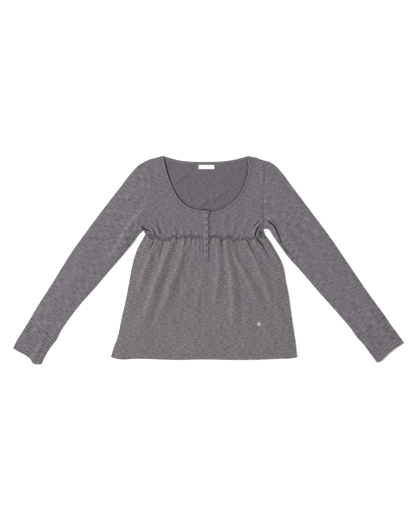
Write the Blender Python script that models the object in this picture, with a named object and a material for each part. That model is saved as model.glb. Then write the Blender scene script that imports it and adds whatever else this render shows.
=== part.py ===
"""Long-sleeved babydoll top in jersey, laid flat on its back with the front up.

Sizes are in millimetres in the garment's own plan: x to the right of the centre front, y up from
the empire seam, z up from the surface that it lies on. place() turns them into metres around the
middle of the garment's outline.
"""

from collections import namedtuple

import bmesh
import bpy
import numpy as np

# Cloth and clearances
MM = 0.001
WALL = 1.2
BINDING_WALL = 1.9
FRILL_WALL = 1.1
LABEL_WALL = 0.6
SEAM_GAP = 0.3
WAIST_GAP = 0.5
SLEEVE_START = 0.0009
BACK_TOP = WALL + SEAM_GAP

# How far the front layer stands off the back one
LOFT = 1.8
FOLD_REACH = 7.0
FOLD_MIDDLE = 1.35
NECK_LIFT = 2.2
NECK_REACH = 30.0

# The middle of the outline, which becomes the origin
MIDDLE_X = 9.4
MIDDLE_Y = -66.85

# Outline of the body, front up
SHOULDER_LEFT = ((-120.4, 235.8), (-145.0, 229.3), (-162.0, 224.6), (-175.8, 218.2))
SHOULDER_RIGHT = ((121.5, 234.9), (146.0, 230.5), (168.0, 222.5), (187.0, 217.5))
ARMHOLE_LEFT = (
    (-175.8, 218.2), (-168.2, 197.2), (-164.7, 172.3), (-159.8, 152.3), (-158.1, 129.1),
    (-161.5, 110.5), (-163.3, 69.0), (-169.0, 45.0), (-178.8, 24.0),
)
ARMHOLE_RIGHT = (
    (187.0, 217.5), (178.4, 197.2), (175.2, 172.3), (173.6, 145.0), (171.7, 118.9),
    (168.5, 85.6), (170.7, 55.7), (173.5, 39.2), (171.5, 20.5),
)
WAIST = (
    (-172.6, 8.7), (-155.0, 1.5), (-135.0, -3.5), (-110.0, -5.5), (-78.0, -2.5), (-43.0, 0.0),
    (0.0, -0.5), (40.0, 0.0), (66.0, -2.0), (90.0, 0.0), (128.0, -1.0), (150.0, 2.2), (174.9, 6.4),
)
SKIRT_LEFT = (
    (-172.6, 8.7), (-180.4, -5.8), (-193.4, -29.0), (-205.9, -63.8), (-214.6, -101.5),
    (-222.7, -147.9), (-232.0, -194.3), (-242.7, -240.7), (-252.3, -287.1), (-265.9, -325.0),
    (-272.5, -347.5),
)
SKIRT_RIGHT = (
    (174.9, 6.4), (188.5, -11.6), (206.3, -40.6), (219.7, -63.8), (229.8, -90.0), (235.6, -125.0),
    (245.0, -171.0), (251.3, -217.5), (258.0, -264.0), (264.6, -310.0), (268.5, -348.5),
)
HEM = (
    (-272.5, -347.5), (-258.1, -352.6), (-194.3, -352.6), (-147.9, -354.2), (-87.0, -356.0),
    (-14.5, -354.3), (95.7, -356.0), (168.2, -354.5), (208.8, -352.5), (258.1, -350.2),
    (268.5, -348.5),
)

# The front hem sits a little higher than the back one towards the left side
FRONT_HEM_RISE = 3.2
FRONT_HEM_RISE_END = -60.0
FRONT_HEM_RISE_RUN = 100.0

# Neckline, from the centre front up to the shoulder, and across the back
NECK_LEFT = (
    (12.2, 74.6), (-9.0, 75.2), (-37.7, 81.2), (-63.8, 98.6), (-84.1, 124.7), (-101.5, 162.4),
    (-113.1, 200.1), (-120.4, 235.8),
)
NECK_RIGHT = (
    (13.3, 71.4), (43.5, 78.3), (78.3, 98.6), (101.5, 124.7), (118.9, 162.4), (126.2, 194.3),
    (125.0, 218.0), (121.5, 234.9),
)
NECK_BACK = ((-122.6, 235.0), (-72.5, 221.9), (0.0, 218.0), (72.5, 221.9), (124.2, 234.2))
BINDING_WIDTH = 6.5
NECK_TURN = 0.9
SHOULDER_LEAD = 0.15

# Sleeves and cuffs: upper and lower folded edge, from the armhole outwards
SLEEVE_LEFT_UPPER = (
    (-175.8, 218.2), (-189.5, 210.6), (-211.7, 188.5), (-248.0, 142.1), (-292.9, 84.1),
    (-345.1, 14.5), (-379.9, -33.4), (-443.7, -134.9), (-475.6, -184.2), (-511.9, -245.1),
)
SLEEVE_LEFT_LOWER = (
    (-178.8, 24.0), (-204.7, -9.7), (-242.4, -56.1), (-282.1, -102.5), (-321.0, -148.8),
    (-361.6, -194.3), (-397.3, -240.7), (-420.5, -275.5), (-430.0, -296.7),
)
SLEEVE_RIGHT_UPPER = (
    (187.0, 217.5), (197.2, 211.7), (220.4, 188.5), (246.5, 153.7), (316.1, 60.9), (350.9, 14.5),
    (414.7, -78.3), (478.5, -171.1), (522.9, -231.4),
)
SLEEVE_RIGHT_LOWER = (
    (171.5, 20.5), (181.0, 22.0), (196.4, 2.4), (211.0, -20.8), (246.0, -67.4), (268.6, -91.5),
    (329.2, -160.9), (392.8, -230.6), (422.2, -265.2), (441.4, -292.8),
)
CUFF_LEFT_UPPER = ((-511.9, -245.1), (-530.7, -275.5), (-545.2, -298.7), (-557.1, -322.5))
CUFF_LEFT_LOWER = ((-430.0, -296.7), (-449.5, -321.9), (-464.0, -345.0), (-475.6, -369.5))
CUFF_LEFT_END = (
    (-557.1, -322.5), (-537.5, -334.0), (-518.0, -344.4), (-505.5, -355.0), (-498.5, -366.5),
    (-475.6, -369.5),
)
CUFF_RIGHT_UPPER = ((522.9, -231.4), (536.5, -252.3), (553.9, -275.5), (575.9, -306.2))
CUFF_RIGHT_LOWER = ((441.4, -292.8), (458.2, -310.3), (475.6, -333.5), (498.5, -364.0))
CUFF_RIGHT_END = (
    (575.9, -306.2), (551.5, -321.5), (521.0, -347.5), (510.0, -359.0), (498.5, -364.0),
)
CUFF_SHARES = (0.0, 0.35, 0.7, 1.0)

# Shares of the armhole, shoulder to underarm, at which bodice and sleeve share their seam points
ARMHOLE_SHARES = (0.0, 0.02, 0.07, 0.14, 0.22, 0.31, 0.4, 0.5, 0.6, 0.7, 0.8, 0.89, 0.96, 1.0)
SLEEVE_SHARES = (
    SLEEVE_START, 0.04, 0.085, 0.135, 0.19, 0.25, 0.32, 0.4, 0.49, 0.58, 0.68, 0.78, 0.89, 0.9995,
)
ARMHOLE_BOW_REACH = 0.4

# Placket set into the centre front, down into the skirt
PLACKET_LEFT = -5.8
PLACKET_RIGHT = 13.2
PLACKET_TOP = 67.8
PLACKET_BOTTOM = -72.8
UNDER_BAND_LEFT = -1.0
UNDER_BAND_TOP = 63.0
TOP_BAND_RIGHT = 12.3
BAND_RISE = WALL + 0.4
BAND_RISE_WIDTH = 4.0
BAND_COLUMNS = 4
BAND_ROWS = 14
NOTCH_EASE = 90.0

# Buttons down the placket
BUTTON_COUNT = 7
BUTTON_X = 4.35
BUTTON_TOP_Y = 62.4
BUTTON_SPACING = 19.2
BUTTON_SIDES = 16
ButtonRing = namedtuple("ButtonRing", "radius height")
BUTTON_RINGS = (
    ButtonRing(0.0, 0.0), ButtonRing(5.25, 0.0), ButtonRing(5.25, 1.5), ButtonRing(4.6, 2.1),
    ButtonRing(3.7, 2.1), ButtonRing(2.9, 1.5), ButtonRing(0.0, 1.5),
)

# Label inside the back neck
LABEL_CENTRE = (5.0, 203.6)
LABEL_SIZE = (48.0, 13.5)
LABEL_COLUMNS = 6
LABEL_ROWS = 2

# Gathers on both sides of the empire seam: each wave's depth and length vary a little
Gathers = namedtuple("Gathers", "waves depth reach rise")
SKIRT_GATHERS = Gathers(waves=11, depth=3.4, reach=70.0, rise=9.0)
BODICE_GATHERS = Gathers(waves=11, depth=1.5, reach=26.0, rise=7.0)
BACK_GATHERS = Gathers(waves=20, depth=2.4, reach=42.0, rise=9.0)
BACK_BODICE_GATHERS = Gathers(waves=20, depth=1.2, reach=24.0, rise=9.0)
SEAM_FLAT = 3.5
GATHER_FADE = 1.5
Varied = namedtuple("Varied", "middle swing pace start")
DEPTH_VARIES = Varied(middle=0.8, swing=0.35, pace=2.3, start=0.7)
REACH_VARIES = Varied(middle=0.62, swing=0.38, pace=1.7, start=2.1)
COLUMNS_PER_WAVE = 4
BACK_COLUMNS_PER_WAVE = 3
PLACKET_COLUMNS = 4

# Wavy strip over the seam
FRILL_WIDTH = 5.6
FRILL_WAVES = 10
FRILL_SWING = 2.1
FRILL_SWING_VARIES = Varied(middle=0.8, swing=0.2, pace=5.1, start=0.0)
FRILL_CROWN = 1.0
FRILL_SEGMENTS_PER_WAVE = 6
FRILL_LIFT = 0.9
FRILL_LEFT_RUN = (-168.0, -6.6)
FRILL_RIGHT_RUN = (14.0, 170.0)

# How the skirt's lengthwise lines fan out: a share of the seam and the share that it reaches below
Fan = namedtuple("Fan", "seam_share lower_share")
FAN_LEFT = (Fan(0.0, 0.0), Fan(0.38, 0.18), Fan(0.65, 0.38), Fan(0.85, 0.74), Fan(1.0, 1.0))
FAN_RIGHT = (Fan(0.0, 0.0), Fan(0.27, 0.25), Fan(0.41, 0.62), Fan(0.61, 0.83), Fan(1.0, 1.0))
FAN_DEPTH = 0.62

# Long soft folds: crest height (a trough is negative), half its width, and its path in plan
Fold = namedtuple("Fold", "height half_width path")
SKIRT_FOLDS = (
    Fold(3.2, 11.0, ((-130.5, -10.0), (-150.0, -35.0), (-168.0, -64.7), (-192.6, -139.0))),
    Fold(5.2, 13.0, (
        (-108.0, -12.0), (-130.0, -65.0), (-150.0, -134.0), (-173.0, -208.0), (-201.0, -251.0),
        (-234.0, -304.0),
    )),
    Fold(4.6, 13.0, (
        (-64.0, -14.0), (-81.0, -65.0), (-97.4, -118.6), (-122.1, -188.5), (-143.0, -234.6),
        (-159.5, -304.0),
    )),
    Fold(-2.6, 13.0, (
        (-104.0, -40.0), (-118.0, -110.0), (-143.0, -190.0), (-166.0, -260.0), (-172.0, -300.0),
    )),
    Fold(2.6, 9.0, ((-46.0, -10.0), (-52.0, -28.0), (-58.0, -50.0))),
    Fold(2.6, 10.0, ((-31.0, -8.0), (-37.7, -60.9), (-56.0, -101.5))),
    Fold(1.8, 14.0, ((4.0, -90.0), (-6.0, -130.0), (-35.0, -213.7), (-40.0, -260.0))),
    Fold(3.0, 9.0, ((33.1, -8.0), (34.8, -60.0), (34.8, -110.2), (27.0, -159.5))),
    Fold(4.0, 10.0, (
        (56.0, -8.0), (63.0, -45.0), (72.5, -110.2), (76.0, -170.0), (76.6, -222.1), (72.0, -275.0),
    )),
    Fold(3.8, 9.0, (
        (78.0, -20.0), (95.0, -72.0), (126.4, -139.2), (148.0, -190.0), (163.6, -230.3),
    )),
    Fold(3.8, 11.0, (
        (112.0, -8.0), (147.0, -81.2), (167.0, -130.0), (180.0, -172.3), (209.0, -220.4),
    )),
    Fold(3.0, 8.0, ((134.6, -8.0), (160.0, -40.0), (180.0, -60.9), (205.0, -86.0))),
    Fold(2.2, 8.0, ((158.0, -4.0), (180.0, -26.0), (200.0, -50.0))),
    Fold(-2.2, 9.0, ((150.0, -8.0), (176.0, -40.0), (196.0, -70.0))),
    Fold(-1.8, 16.0, ((136.0, -130.0), (165.0, -190.0), (192.6, -238.7))),
    Fold(1.4, 12.0, ((-101.0, -213.7), (-98.0, -250.0), (-100.0, -290.0))),
    Fold(1.4, 12.0, ((113.0, -200.0), (121.0, -255.0))),
)
BODICE_FOLDS = (
    Fold(2.4, 10.0, ((58.0, 67.0), (52.0, 38.0), (49.3, 8.0))),
    Fold(2.2, 10.0, ((84.0, 45.0), (77.0, 22.0), (75.4, 8.0))),
    Fold(2.0, 9.0, ((120.0, 50.0), (108.0, 25.0), (104.0, 8.0))),
    Fold(2.6, 10.0, ((168.0, 66.0), (152.0, 34.0), (138.0, 10.0))),
    Fold(-1.6, 9.0, ((160.0, 50.0), (149.6, 38.6), (141.0, 23.8))),
    Fold(2.4, 9.0, ((164.0, 40.0), (156.0, 22.0), (150.0, 10.0))),
    Fold(2.0, 10.0, ((-90.0, 50.0), (-89.0, 26.0), (-87.0, 8.0))),
    Fold(1.8, 9.0, ((-64.0, 34.0), (-62.0, 20.0), (-60.0, 8.0))),
    Fold(2.6, 10.0, ((-158.0, 72.0), (-146.0, 36.0), (-130.0, 10.0))),
    Fold(-1.6, 10.0, ((-150.0, 66.0), (-138.0, 34.0), (-124.0, 14.0))),
    Fold(2.4, 9.0, ((-168.0, 30.0), (-156.0, 22.0), (-148.0, 8.0))),
)
SLEEVE_FOLDS = (
    Fold(3.6, 17.0, (
        (-172.0, 84.0), (-204.7, 55.7), (-224.8, 30.7), (-238.0, 5.8), (-265.0, -40.6), (-309.7, -93.4),
    )),
    Fold(-1.6, 14.0, ((-196.0, 44.0), (-213.0, 18.9), (-232.0, -18.0))),
    Fold(2.0, 20.0, (
        (-425.0, -150.0), (-450.0, -190.0), (-474.4, -302.8), (-482.3, -322.8), (-494.5, -345.1),
    )),
    Fold(-2.4, 15.0, (
        (180.7, 46.1), (198.7, 35.7), (207.4, 20.9), (214.9, 1.7), (235.5, -32.5), (268.0, -66.4),
    )),
    Fold(2.4, 17.0, ((188.0, 60.0), (214.0, 46.0), (232.0, 12.0), (262.0, -30.0), (310.0, -90.0))),
    Fold(1.4, 22.0, ((430.0, -150.0), (470.0, -210.0), (500.0, -262.0))),
)
FOLD_START = 0.1
FOLD_END = 0.4
LEAST_LIFT = 0.2

# Rows and columns of the panels
SKIRT_ROWS = (0.0, 0.015, 0.04, 0.085, 0.14, 0.205, 0.3, 0.42, 0.56, 0.72, 0.87, 1.0)
NOTCH_ROW = SKIRT_ROWS.index(0.205)
BACK_SKIRT_ROWS = (0.0, 0.015, 0.04, 0.085, 0.125, 0.25, 0.45, 0.72, 1.0)
BODICE_COLUMNS = 30
BACK_BODICE_COLUMNS = 30
BACK_SHOULDER_COLUMNS = 5
BACK_SHOULDER_SHARE = 0.93
BACK_NECK_ENDS = (0.012, 0.988)
BACK_NECK_EASE = 1.5
NECK_SHARES = (0.0, 0.1, 0.2, 0.3, 0.4, 0.5, 0.6, 0.71, 0.82, 0.92, 1.0)
CENTRE_SHARES = (0.0, 0.12, 0.24, 0.36, 0.46, 0.68)
SIDE_SHARES = (0.0, 0.35, 0.7, 1.0)
BODICE_ROWS = len(SIDE_SHARES) + len(ARMHOLE_SHARES) - 2
BACK_BINDING_SEGMENTS = 22
CENTRE_SPREAD = 9.0
SHARP_ANGLE = 50.0

Tone = namedtuple("Tone", "red green blue roughness")
JERSEY = Tone(0.185, 0.169, 0.183, 0.92)
JERSEY_SHADE = Tone(0.165, 0.152, 0.166, 0.92)
BINDING_TONE = Tone(0.2, 0.184, 0.198, 0.9)
BUTTON_TONE = Tone(0.33, 0.32, 0.37, 0.35)
LABEL_TONE = Tone(0.86, 0.86, 0.85, 0.8)


class Curve:
    """A smooth line in plan through a few points, read by its share of length from 0 to 1."""

    STEPS = 12

    def __init__(self, knots):
        knots = np.array(knots, float)
        spans = np.linalg.norm(np.diff(knots, axis=0), axis=1)
        slopes = np.diff(knots, axis=0) / spans[:, None]
        tangents = np.empty_like(knots)
        tangents[0], tangents[-1] = slopes[0], slopes[-1]
        weight = spans[1:] / (spans[1:] + spans[:-1])
        tangents[1:-1] = slopes[:-1] * weight[:, None] + slopes[1:] * (1 - weight)[:, None]
        self.points = np.array([knots[0]] + [
            point
            for i, span in enumerate(spans)
            for point in self.stretch(knots[i], knots[i + 1], tangents[i] * span, tangents[i + 1] * span)
        ])
        steps = np.linalg.norm(np.diff(self.points, axis=0), axis=1)
        self.length = steps.sum()
        self.shares = np.concatenate([[0.0], np.cumsum(steps)]) / self.length

    def stretch(self, start, end, leaving, arriving):
        for step in range(1, self.STEPS + 1):
            t = step / self.STEPS
            yield (
                start * (2 * t**3 - 3 * t**2 + 1)
                + leaving * (t**3 - 2 * t**2 + t)
                + end * (3 * t**2 - 2 * t**3)
                + arriving * (t**3 - t**2)
            )

    def at(self, share):
        return np.array([np.interp(share, self.shares, self.points[:, axis]) for axis in (0, 1)])

    def direction(self, share):
        ahead = self.at(min(share + 0.004, 1.0)) - self.at(max(share - 0.004, 0.0))
        return ahead / np.linalg.norm(ahead)

    def x_at(self, y):
        order = np.argsort(self.points[:, 1])
        return np.interp(y, self.points[order, 1], self.points[order, 0])

    def y_at(self, x):
        order = np.argsort(self.points[:, 0])
        return np.interp(x, self.points[order, 0], self.points[order, 1])

    def nearest(self, x, y):
        """Distance from the line, and the share of its length at the nearest place."""
        starts, ends = self.points[:-1], self.points[1:]
        run = ends - starts
        off = np.array([x, y]) - starts
        part = np.clip((off * run).sum(axis=1) / (run * run).sum(axis=1), 0, 1)
        apart = np.linalg.norm(off - run * part[:, None], axis=1)
        best = int(np.argmin(apart))
        share = self.shares[best] + part[best] * (self.shares[best + 1] - self.shares[best])
        return apart[best], share


def smooth(value):
    value = min(max(value, 0.0), 1.0)
    return value * value * (3 - 2 * value)


waist = Curve(WAIST)
hem = Curve(HEM)
skirt_left, skirt_right = Curve(SKIRT_LEFT), Curve(SKIRT_RIGHT)
neck_left, neck_right, neck_back = Curve(NECK_LEFT), Curve(NECK_RIGHT), Curve(NECK_BACK)
shoulder_left, shoulder_right = Curve(SHOULDER_LEFT), Curve(SHOULDER_RIGHT)
armhole_left, armhole_right = Curve(ARMHOLE_LEFT), Curve(ARMHOLE_RIGHT)
sleeve_edges = {
    "left": (Curve(SLEEVE_LEFT_UPPER), Curve(SLEEVE_LEFT_LOWER)),
    "right": (Curve(SLEEVE_RIGHT_UPPER), Curve(SLEEVE_RIGHT_LOWER)),
}
cuff_edges = {
    "left": (Curve(CUFF_LEFT_UPPER), Curve(CUFF_LEFT_LOWER), Curve(CUFF_LEFT_END)),
    "right": (Curve(CUFF_RIGHT_UPPER), Curve(CUFF_RIGHT_LOWER), Curve(CUFF_RIGHT_END)),
}
side_left = Curve((WAIST[0], ARMHOLE_LEFT[-1]))
side_right = Curve((WAIST[-1], ARMHOLE_RIGHT[-1]))
folded_edges = [
    skirt_left, skirt_right, side_left, side_right, shoulder_left, shoulder_right,
    *sleeve_edges["left"], *sleeve_edges["right"], *cuff_edges["left"][:2], *cuff_edges["right"][:2],
]
fold_paths = [(fold, Curve(fold.path)) for fold in SKIRT_FOLDS + BODICE_FOLDS + SLEEVE_FOLDS]


def rounding(x, y):
    """0 on a folded or sewn edge of the outline, 1 once the front layer lies clear of it."""
    apart = min(edge.nearest(x, y)[0] for edge in folded_edges)
    inner = min(apart / FOLD_REACH, 1.0)
    return (1 - (1 - inner) ** 2) ** 0.5


def varied(kind, number):
    """A factor that changes from one gather to the next."""
    return kind.middle + kind.swing * np.sin(kind.pace * number + kind.start)


def gather_wave(gathers, share, from_seam):
    """Height of the gathers at a share of the seam and a distance from it."""
    phase = share * gathers.waves
    number = int(phase)
    depth = gathers.depth * varied(DEPTH_VARIES, number)
    reach = gathers.reach * varied(REACH_VARIES, number)
    crest = 0.5 - 0.5 * np.cos(2 * np.pi * phase)
    growing = smooth((from_seam - SEAM_FLAT) / gathers.rise)
    fading = max(0.0, 1 - from_seam / reach) ** GATHER_FADE
    return depth * crest * growing * fading


def back_relief(x, y):
    """Low gathers of the back layer. They lift it off the surface only close to the seam."""
    share = (x - WAIST[0][0]) / (WAIST[-1][0] - WAIST[0][0])
    from_seam = abs(waist.y_at(x) - y)
    if not 0 < share < 1:
        return 0.0
    gathers = BACK_GATHERS if y < waist.y_at(x) else BACK_BODICE_GATHERS
    return gather_wave(gathers, share, from_seam) * rounding(x, y)


def seam_share(x):
    """Share of the front seam on one side of the placket, and 0 on the placket itself."""
    if x < PLACKET_LEFT:
        return (x - WAIST[0][0]) / (PLACKET_LEFT - WAIST[0][0])
    if x > PLACKET_RIGHT:
        return (x - PLACKET_RIGHT) / (WAIST[-1][0] - PLACKET_RIGHT)
    return 0.0


def fold_height(fold, path, x, y):
    apart, share = path.nearest(x, y)
    if apart >= fold.half_width:
        return 0.0
    profile = (1 - (apart / fold.half_width) ** 2) ** 2
    return fold.height * profile * smooth(share / FOLD_START) * smooth((1 - share) / FOLD_END)


def front_under(x, y, share=None):
    """Height of the underside of the front layer, the top layer of a sleeve too."""
    round_off = rounding(x, y)
    share = seam_share(x) if share is None else share
    below = waist.y_at(x) - y
    neck = min(neck_left.nearest(x, y)[0], neck_right.nearest(x, y)[0])
    lift = LOFT + NECK_LIFT * np.exp(-neck / NECK_REACH)
    lift += sum(fold_height(fold, path, x, y) for fold, path in fold_paths)
    if armhole_left.x_at(y) < x < armhole_right.x_at(y) or below > 0:
        lift += gather_wave(SKIRT_GATHERS if below > 0 else BODICE_GATHERS, share, abs(below))
    return BACK_TOP + back_relief(x, y) + max(lift, LEAST_LIFT) * round_off


def placket_rise(x):
    """The top band and its end of the binding climb from the left front on to the under band."""
    return BAND_RISE * smooth((x - PLACKET_LEFT) / BAND_RISE_WIDTH)


def place(x, y, z):
    return ((x - MIDDLE_X) * MM, (y - MIDDLE_Y) * MM, z * MM)


def material(name, tone):
    made = bpy.data.materials.new(name)
    made.use_nodes = True
    shader = made.node_tree.nodes["Principled BSDF"]
    shader.inputs["Base Color"].default_value = (tone.red, tone.green, tone.blue, 1)
    shader.inputs["Roughness"].default_value = tone.roughness
    shader.inputs["Metallic"].default_value = 0.0
    made.diffuse_color = (tone.red, tone.green, tone.blue, 1)
    return made


def add_object(name, shape, tone):
    bmesh.ops.recalc_face_normals(shape, faces=shape.faces)
    mesh = bpy.data.meshes.new(name)
    shape.to_mesh(mesh)
    shape.free()
    mesh.shade_smooth()
    mesh.set_sharp_from_angle(angle=np.radians(SHARP_ANGLE))
    mesh.materials.append(material(name, tone))
    made = bpy.data.objects.new(name, mesh)
    bpy.context.scene.collection.objects.link(made)
    return made


def grid(columns, rows):
    """A flat grid, with each point's column and row counted from 0."""
    shape = bmesh.new()
    bmesh.ops.create_grid(shape, x_segments=columns, y_segments=rows, size=0.5)
    counted = [
        (vert, round((vert.co.x + 0.5) * columns), round((vert.co.y + 0.5) * rows)) for vert in shape.verts
    ]
    return shape, counted


def panel(name, tone, columns, rows, point, wall=WALL, left_out=None):
    """A sheet of cloth whose point(column, row) is its underside, thickened upwards."""
    shape, counted = grid(columns, rows)
    cell_of = {vert: (column, row) for vert, column, row in counted}
    if left_out:
        dropped = [
            face
            for face in shape.faces
            if left_out(min(cell_of[v][0] for v in face.verts), min(cell_of[v][1] for v in face.verts))
        ]
        bmesh.ops.delete(shape, geom=dropped, context="FACES")
    for vert in shape.verts:
        vert.co = place(*point(*cell_of[vert]))
    risen = bmesh.ops.extrude_face_region(shape, geom=shape.faces[:], use_keep_orig=True)
    lifted = [item for item in risen["geom"] if isinstance(item, bmesh.types.BMVert)]
    bmesh.ops.translate(shape, verts=lifted, vec=(0, 0, wall * MM))
    return add_object(name, shape, tone)


def tube(name, tone, sections, plan):
    """A flattened tube of cloth with open ends. plan(section, across) gives its places in plan."""
    across = len(ARMHOLE_SHARES)
    around = 2 * (across - 1)
    last = len(sections) - 1
    turns = 2 * last + 2

    def wall_point(section, step, inner):
        place_across = step if step < across else around - step
        share = ARMHOLE_SHARES[place_across]
        x, y = plan(sections[section], share)
        if place_across in (0, across - 1):
            if inner:
                toward_x, toward_y = plan(sections[section], 0.5)
                reach = np.hypot(toward_x - x, toward_y - y)
                x += (toward_x - x) * WALL / reach
                y += (toward_y - y) * WALL / reach
            return x, y, FOLD_MIDDLE
        if step < across:
            return x, y, front_under(x, y) + (0.0 if inner else WALL)
        return x, y, WALL if inner else 0.0

    shape, counted = grid(around, turns)
    for vert, step, turn in counted:
        turn %= turns
        inner = turn > last
        section = turns - 1 - turn if inner else turn
        vert.co = place(*wall_point(section, step % around, inner))
    bmesh.ops.remove_doubles(shape, verts=shape.verts, dist=0.00002)
    return add_object(name, shape, tone)


def fanned(fan, share, down):
    """The share that a lengthwise line of the skirt has reached at this depth."""
    lower = np.interp(share, [line.seam_share for line in fan], [line.lower_share for line in fan])
    return share + (lower - share) * min(down / FAN_DEPTH, 1.0)


def front_skirt():
    """The gathered front of the skirt, with the notch that the placket fills."""
    per_side = SKIRT_GATHERS.waves * COLUMNS_PER_WAVE
    columns = 2 * per_side + PLACKET_COLUMNS

    def point(column, row):
        down = SKIRT_ROWS[row]
        spread = CENTRE_SPREAD * smooth((down - SKIRT_ROWS[NOTCH_ROW]) / (1 - SKIRT_ROWS[NOTCH_ROW]))
        notch = (PLACKET_LEFT - spread, PLACKET_RIGHT + spread)
        if column <= per_side:
            share = column / per_side
            seam_run, hem_run = (WAIST[0][0], PLACKET_LEFT), (HEM[0][0], notch[0])
        elif column >= per_side + PLACKET_COLUMNS:
            share = (column - per_side - PLACKET_COLUMNS) / per_side
            seam_run, hem_run = (PLACKET_RIGHT, WAIST[-1][0]), (notch[1], HEM[-1][0])
        else:
            share = (column - per_side) / PLACKET_COLUMNS
            seam_run, hem_run = (PLACKET_LEFT, PLACKET_RIGHT), notch
        top_x = np.interp(share, (0, 1), seam_run)
        hem_x = np.interp(share, (0, 1), hem_run)
        risen = smooth((FRONT_HEM_RISE_END - hem_x) / FRONT_HEM_RISE_RUN)
        hem_y = hem.y_at(hem_x) + FRONT_HEM_RISE * risen
        top_y = waist.y_at(top_x) - WAIST_GAP / 2
        y = top_y + (hem_y - top_y) * down
        if row == NOTCH_ROW:
            y = y + (PLACKET_BOTTOM - y) * smooth(1 - abs(top_x - BUTTON_X) / NOTCH_EASE)
        if column <= per_side:
            x = np.interp(fanned(FAN_LEFT, share, down), (0, 1), (skirt_left.x_at(y), notch[0]))
        elif column >= per_side + PLACKET_COLUMNS:
            x = np.interp(fanned(FAN_RIGHT, share, down), (0, 1), (notch[1], skirt_right.x_at(y)))
        else:
            x = np.interp(share, (0, 1), notch)
            share = 0.0
        return x, y, front_under(x, y, share)

    def in_notch(column, row):
        return per_side <= column < per_side + PLACKET_COLUMNS and row < NOTCH_ROW

    return panel("front_skirt", JERSEY, columns, len(SKIRT_ROWS) - 1, point, left_out=in_notch)


def back_skirt():
    columns = BACK_GATHERS.waves * BACK_COLUMNS_PER_WAVE

    def point(column, row):
        share = column / columns
        top_x = np.interp(share, (0, 1), (WAIST[0][0], WAIST[-1][0]))
        hem_x = np.interp(share, (0, 1), (HEM[0][0], HEM[-1][0]))
        top_y = waist.y_at(top_x) - WAIST_GAP / 2
        y = top_y + (hem.y_at(hem_x) - top_y) * BACK_SKIRT_ROWS[row]
        x = np.interp(share, (0, 1), (skirt_left.x_at(y), skirt_right.x_at(y)))
        return x, y, back_relief(x, y)

    return panel("back_skirt", JERSEY, columns, len(BACK_SKIRT_ROWS) - 1, point)


def beside(curve, share, apart, side, end_direction):
    """A place beside a neckline, which turns along the shoulder at its upper end."""
    ahead = curve.direction(share)
    normal = np.array([-ahead[1], ahead[0]]) * side
    turn = smooth((share - NECK_TURN) / (1 - NECK_TURN))
    aim = normal * (1 - turn) + end_direction * turn
    return curve.at(share) + aim / np.linalg.norm(aim) * apart


def along_shoulder(shoulder):
    step = shoulder.at(SHOULDER_LEAD) - shoulder.at(0.0)
    return step / np.linalg.norm(step)


def neck_shares(neck, centre_x):
    """Shares of a neckline from where the bodice meets the placket up to the shoulder."""
    first = float(neck.nearest(centre_x, neck.at(0.0)[1])[1])
    return [first + (1 - first) * share for share in NECK_SHARES]


def front_bodice(name, neck, side, shoulder, armhole, corner, centre_x):
    """One side of the front, from the placket and the neckline out to the armhole."""
    rows = BODICE_ROWS
    neck_start = len(CENTRE_SHARES)
    shares = neck_shares(neck, centre_x)
    shoulder_way = along_shoulder(shoulder)
    at_neck = BINDING_WIDTH + SEAM_GAP
    seam_y = waist.y_at(centre_x)
    top_y = beside(neck, shares[0], at_neck, side, shoulder_way)[1]

    def inner(row):
        if row < neck_start:
            return np.array([centre_x, seam_y + (top_y - seam_y) * CENTRE_SHARES[row]])
        return beside(neck, shares[row - neck_start], at_neck, side, shoulder_way)

    def outer(row):
        if row < len(SIDE_SHARES):
            return np.array(corner) + (armhole.at(1.0) - np.array(corner)) * SIDE_SHARES[row]
        return armhole.at(ARMHOLE_SHARES[rows - row])

    def point(column, row):
        x, y = outer(row) + (inner(row) - outer(row)) * column / BODICE_COLUMNS
        if row == 0:
            y = waist.y_at(x) + WAIST_GAP / 2
        if row == rows:
            y = shoulder.y_at(x)
        return x, y, front_under(x, y)

    return panel(name, JERSEY, BODICE_COLUMNS, rows, point)


def below_back_neck(along, apart):
    """A place below the back neckline, read from its left end to its right one."""
    share = np.interp(along, (0, 1), BACK_NECK_ENDS)
    ahead = neck_back.direction(share)
    return neck_back.at(share) + np.array([ahead[1], -ahead[0]]) * apart


def back_bodice():
    rows = len(ARMHOLE_SHARES)
    neck_steps = BACK_BODICE_COLUMNS - 2 * BACK_SHOULDER_COLUMNS - 2

    def top(column):
        beyond = BACK_BODICE_COLUMNS - column
        if column <= BACK_SHOULDER_COLUMNS:
            return shoulder_left.at(1 - BACK_SHOULDER_SHARE * column / BACK_SHOULDER_COLUMNS)
        if beyond <= BACK_SHOULDER_COLUMNS:
            return shoulder_right.at(1 - BACK_SHOULDER_SHARE * beyond / BACK_SHOULDER_COLUMNS)
        along = (column - BACK_SHOULDER_COLUMNS - 1) / neck_steps
        return below_back_neck(along, BINDING_WIDTH + SEAM_GAP)

    def point(column, row):
        share = column / BACK_BODICE_COLUMNS
        if row == 0:
            left, right = np.array(WAIST[0]), np.array(WAIST[-1])
        else:
            left = armhole_left.at(ARMHOLE_SHARES[rows - row])
            right = armhole_right.at(ARMHOLE_SHARES[rows - row])
        x, y = left + (right - left) * share
        if row == 0:
            return x, waist.y_at(x) + WAIST_GAP / 2, back_relief(x, y)
        top_left, top_right = armhole_left.at(0.0), armhole_right.at(0.0)
        rise = (1 - ARMHOLE_SHARES[rows - row]) ** BACK_NECK_EASE
        straight = top_left + (top_right - top_left) * share
        x, y = np.array([x, y]) + (top(column) - straight) * rise
        return x, y, back_relief(x, y)

    return panel("back_bodice", JERSEY_SHADE, BACK_BODICE_COLUMNS, rows, point)


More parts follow.
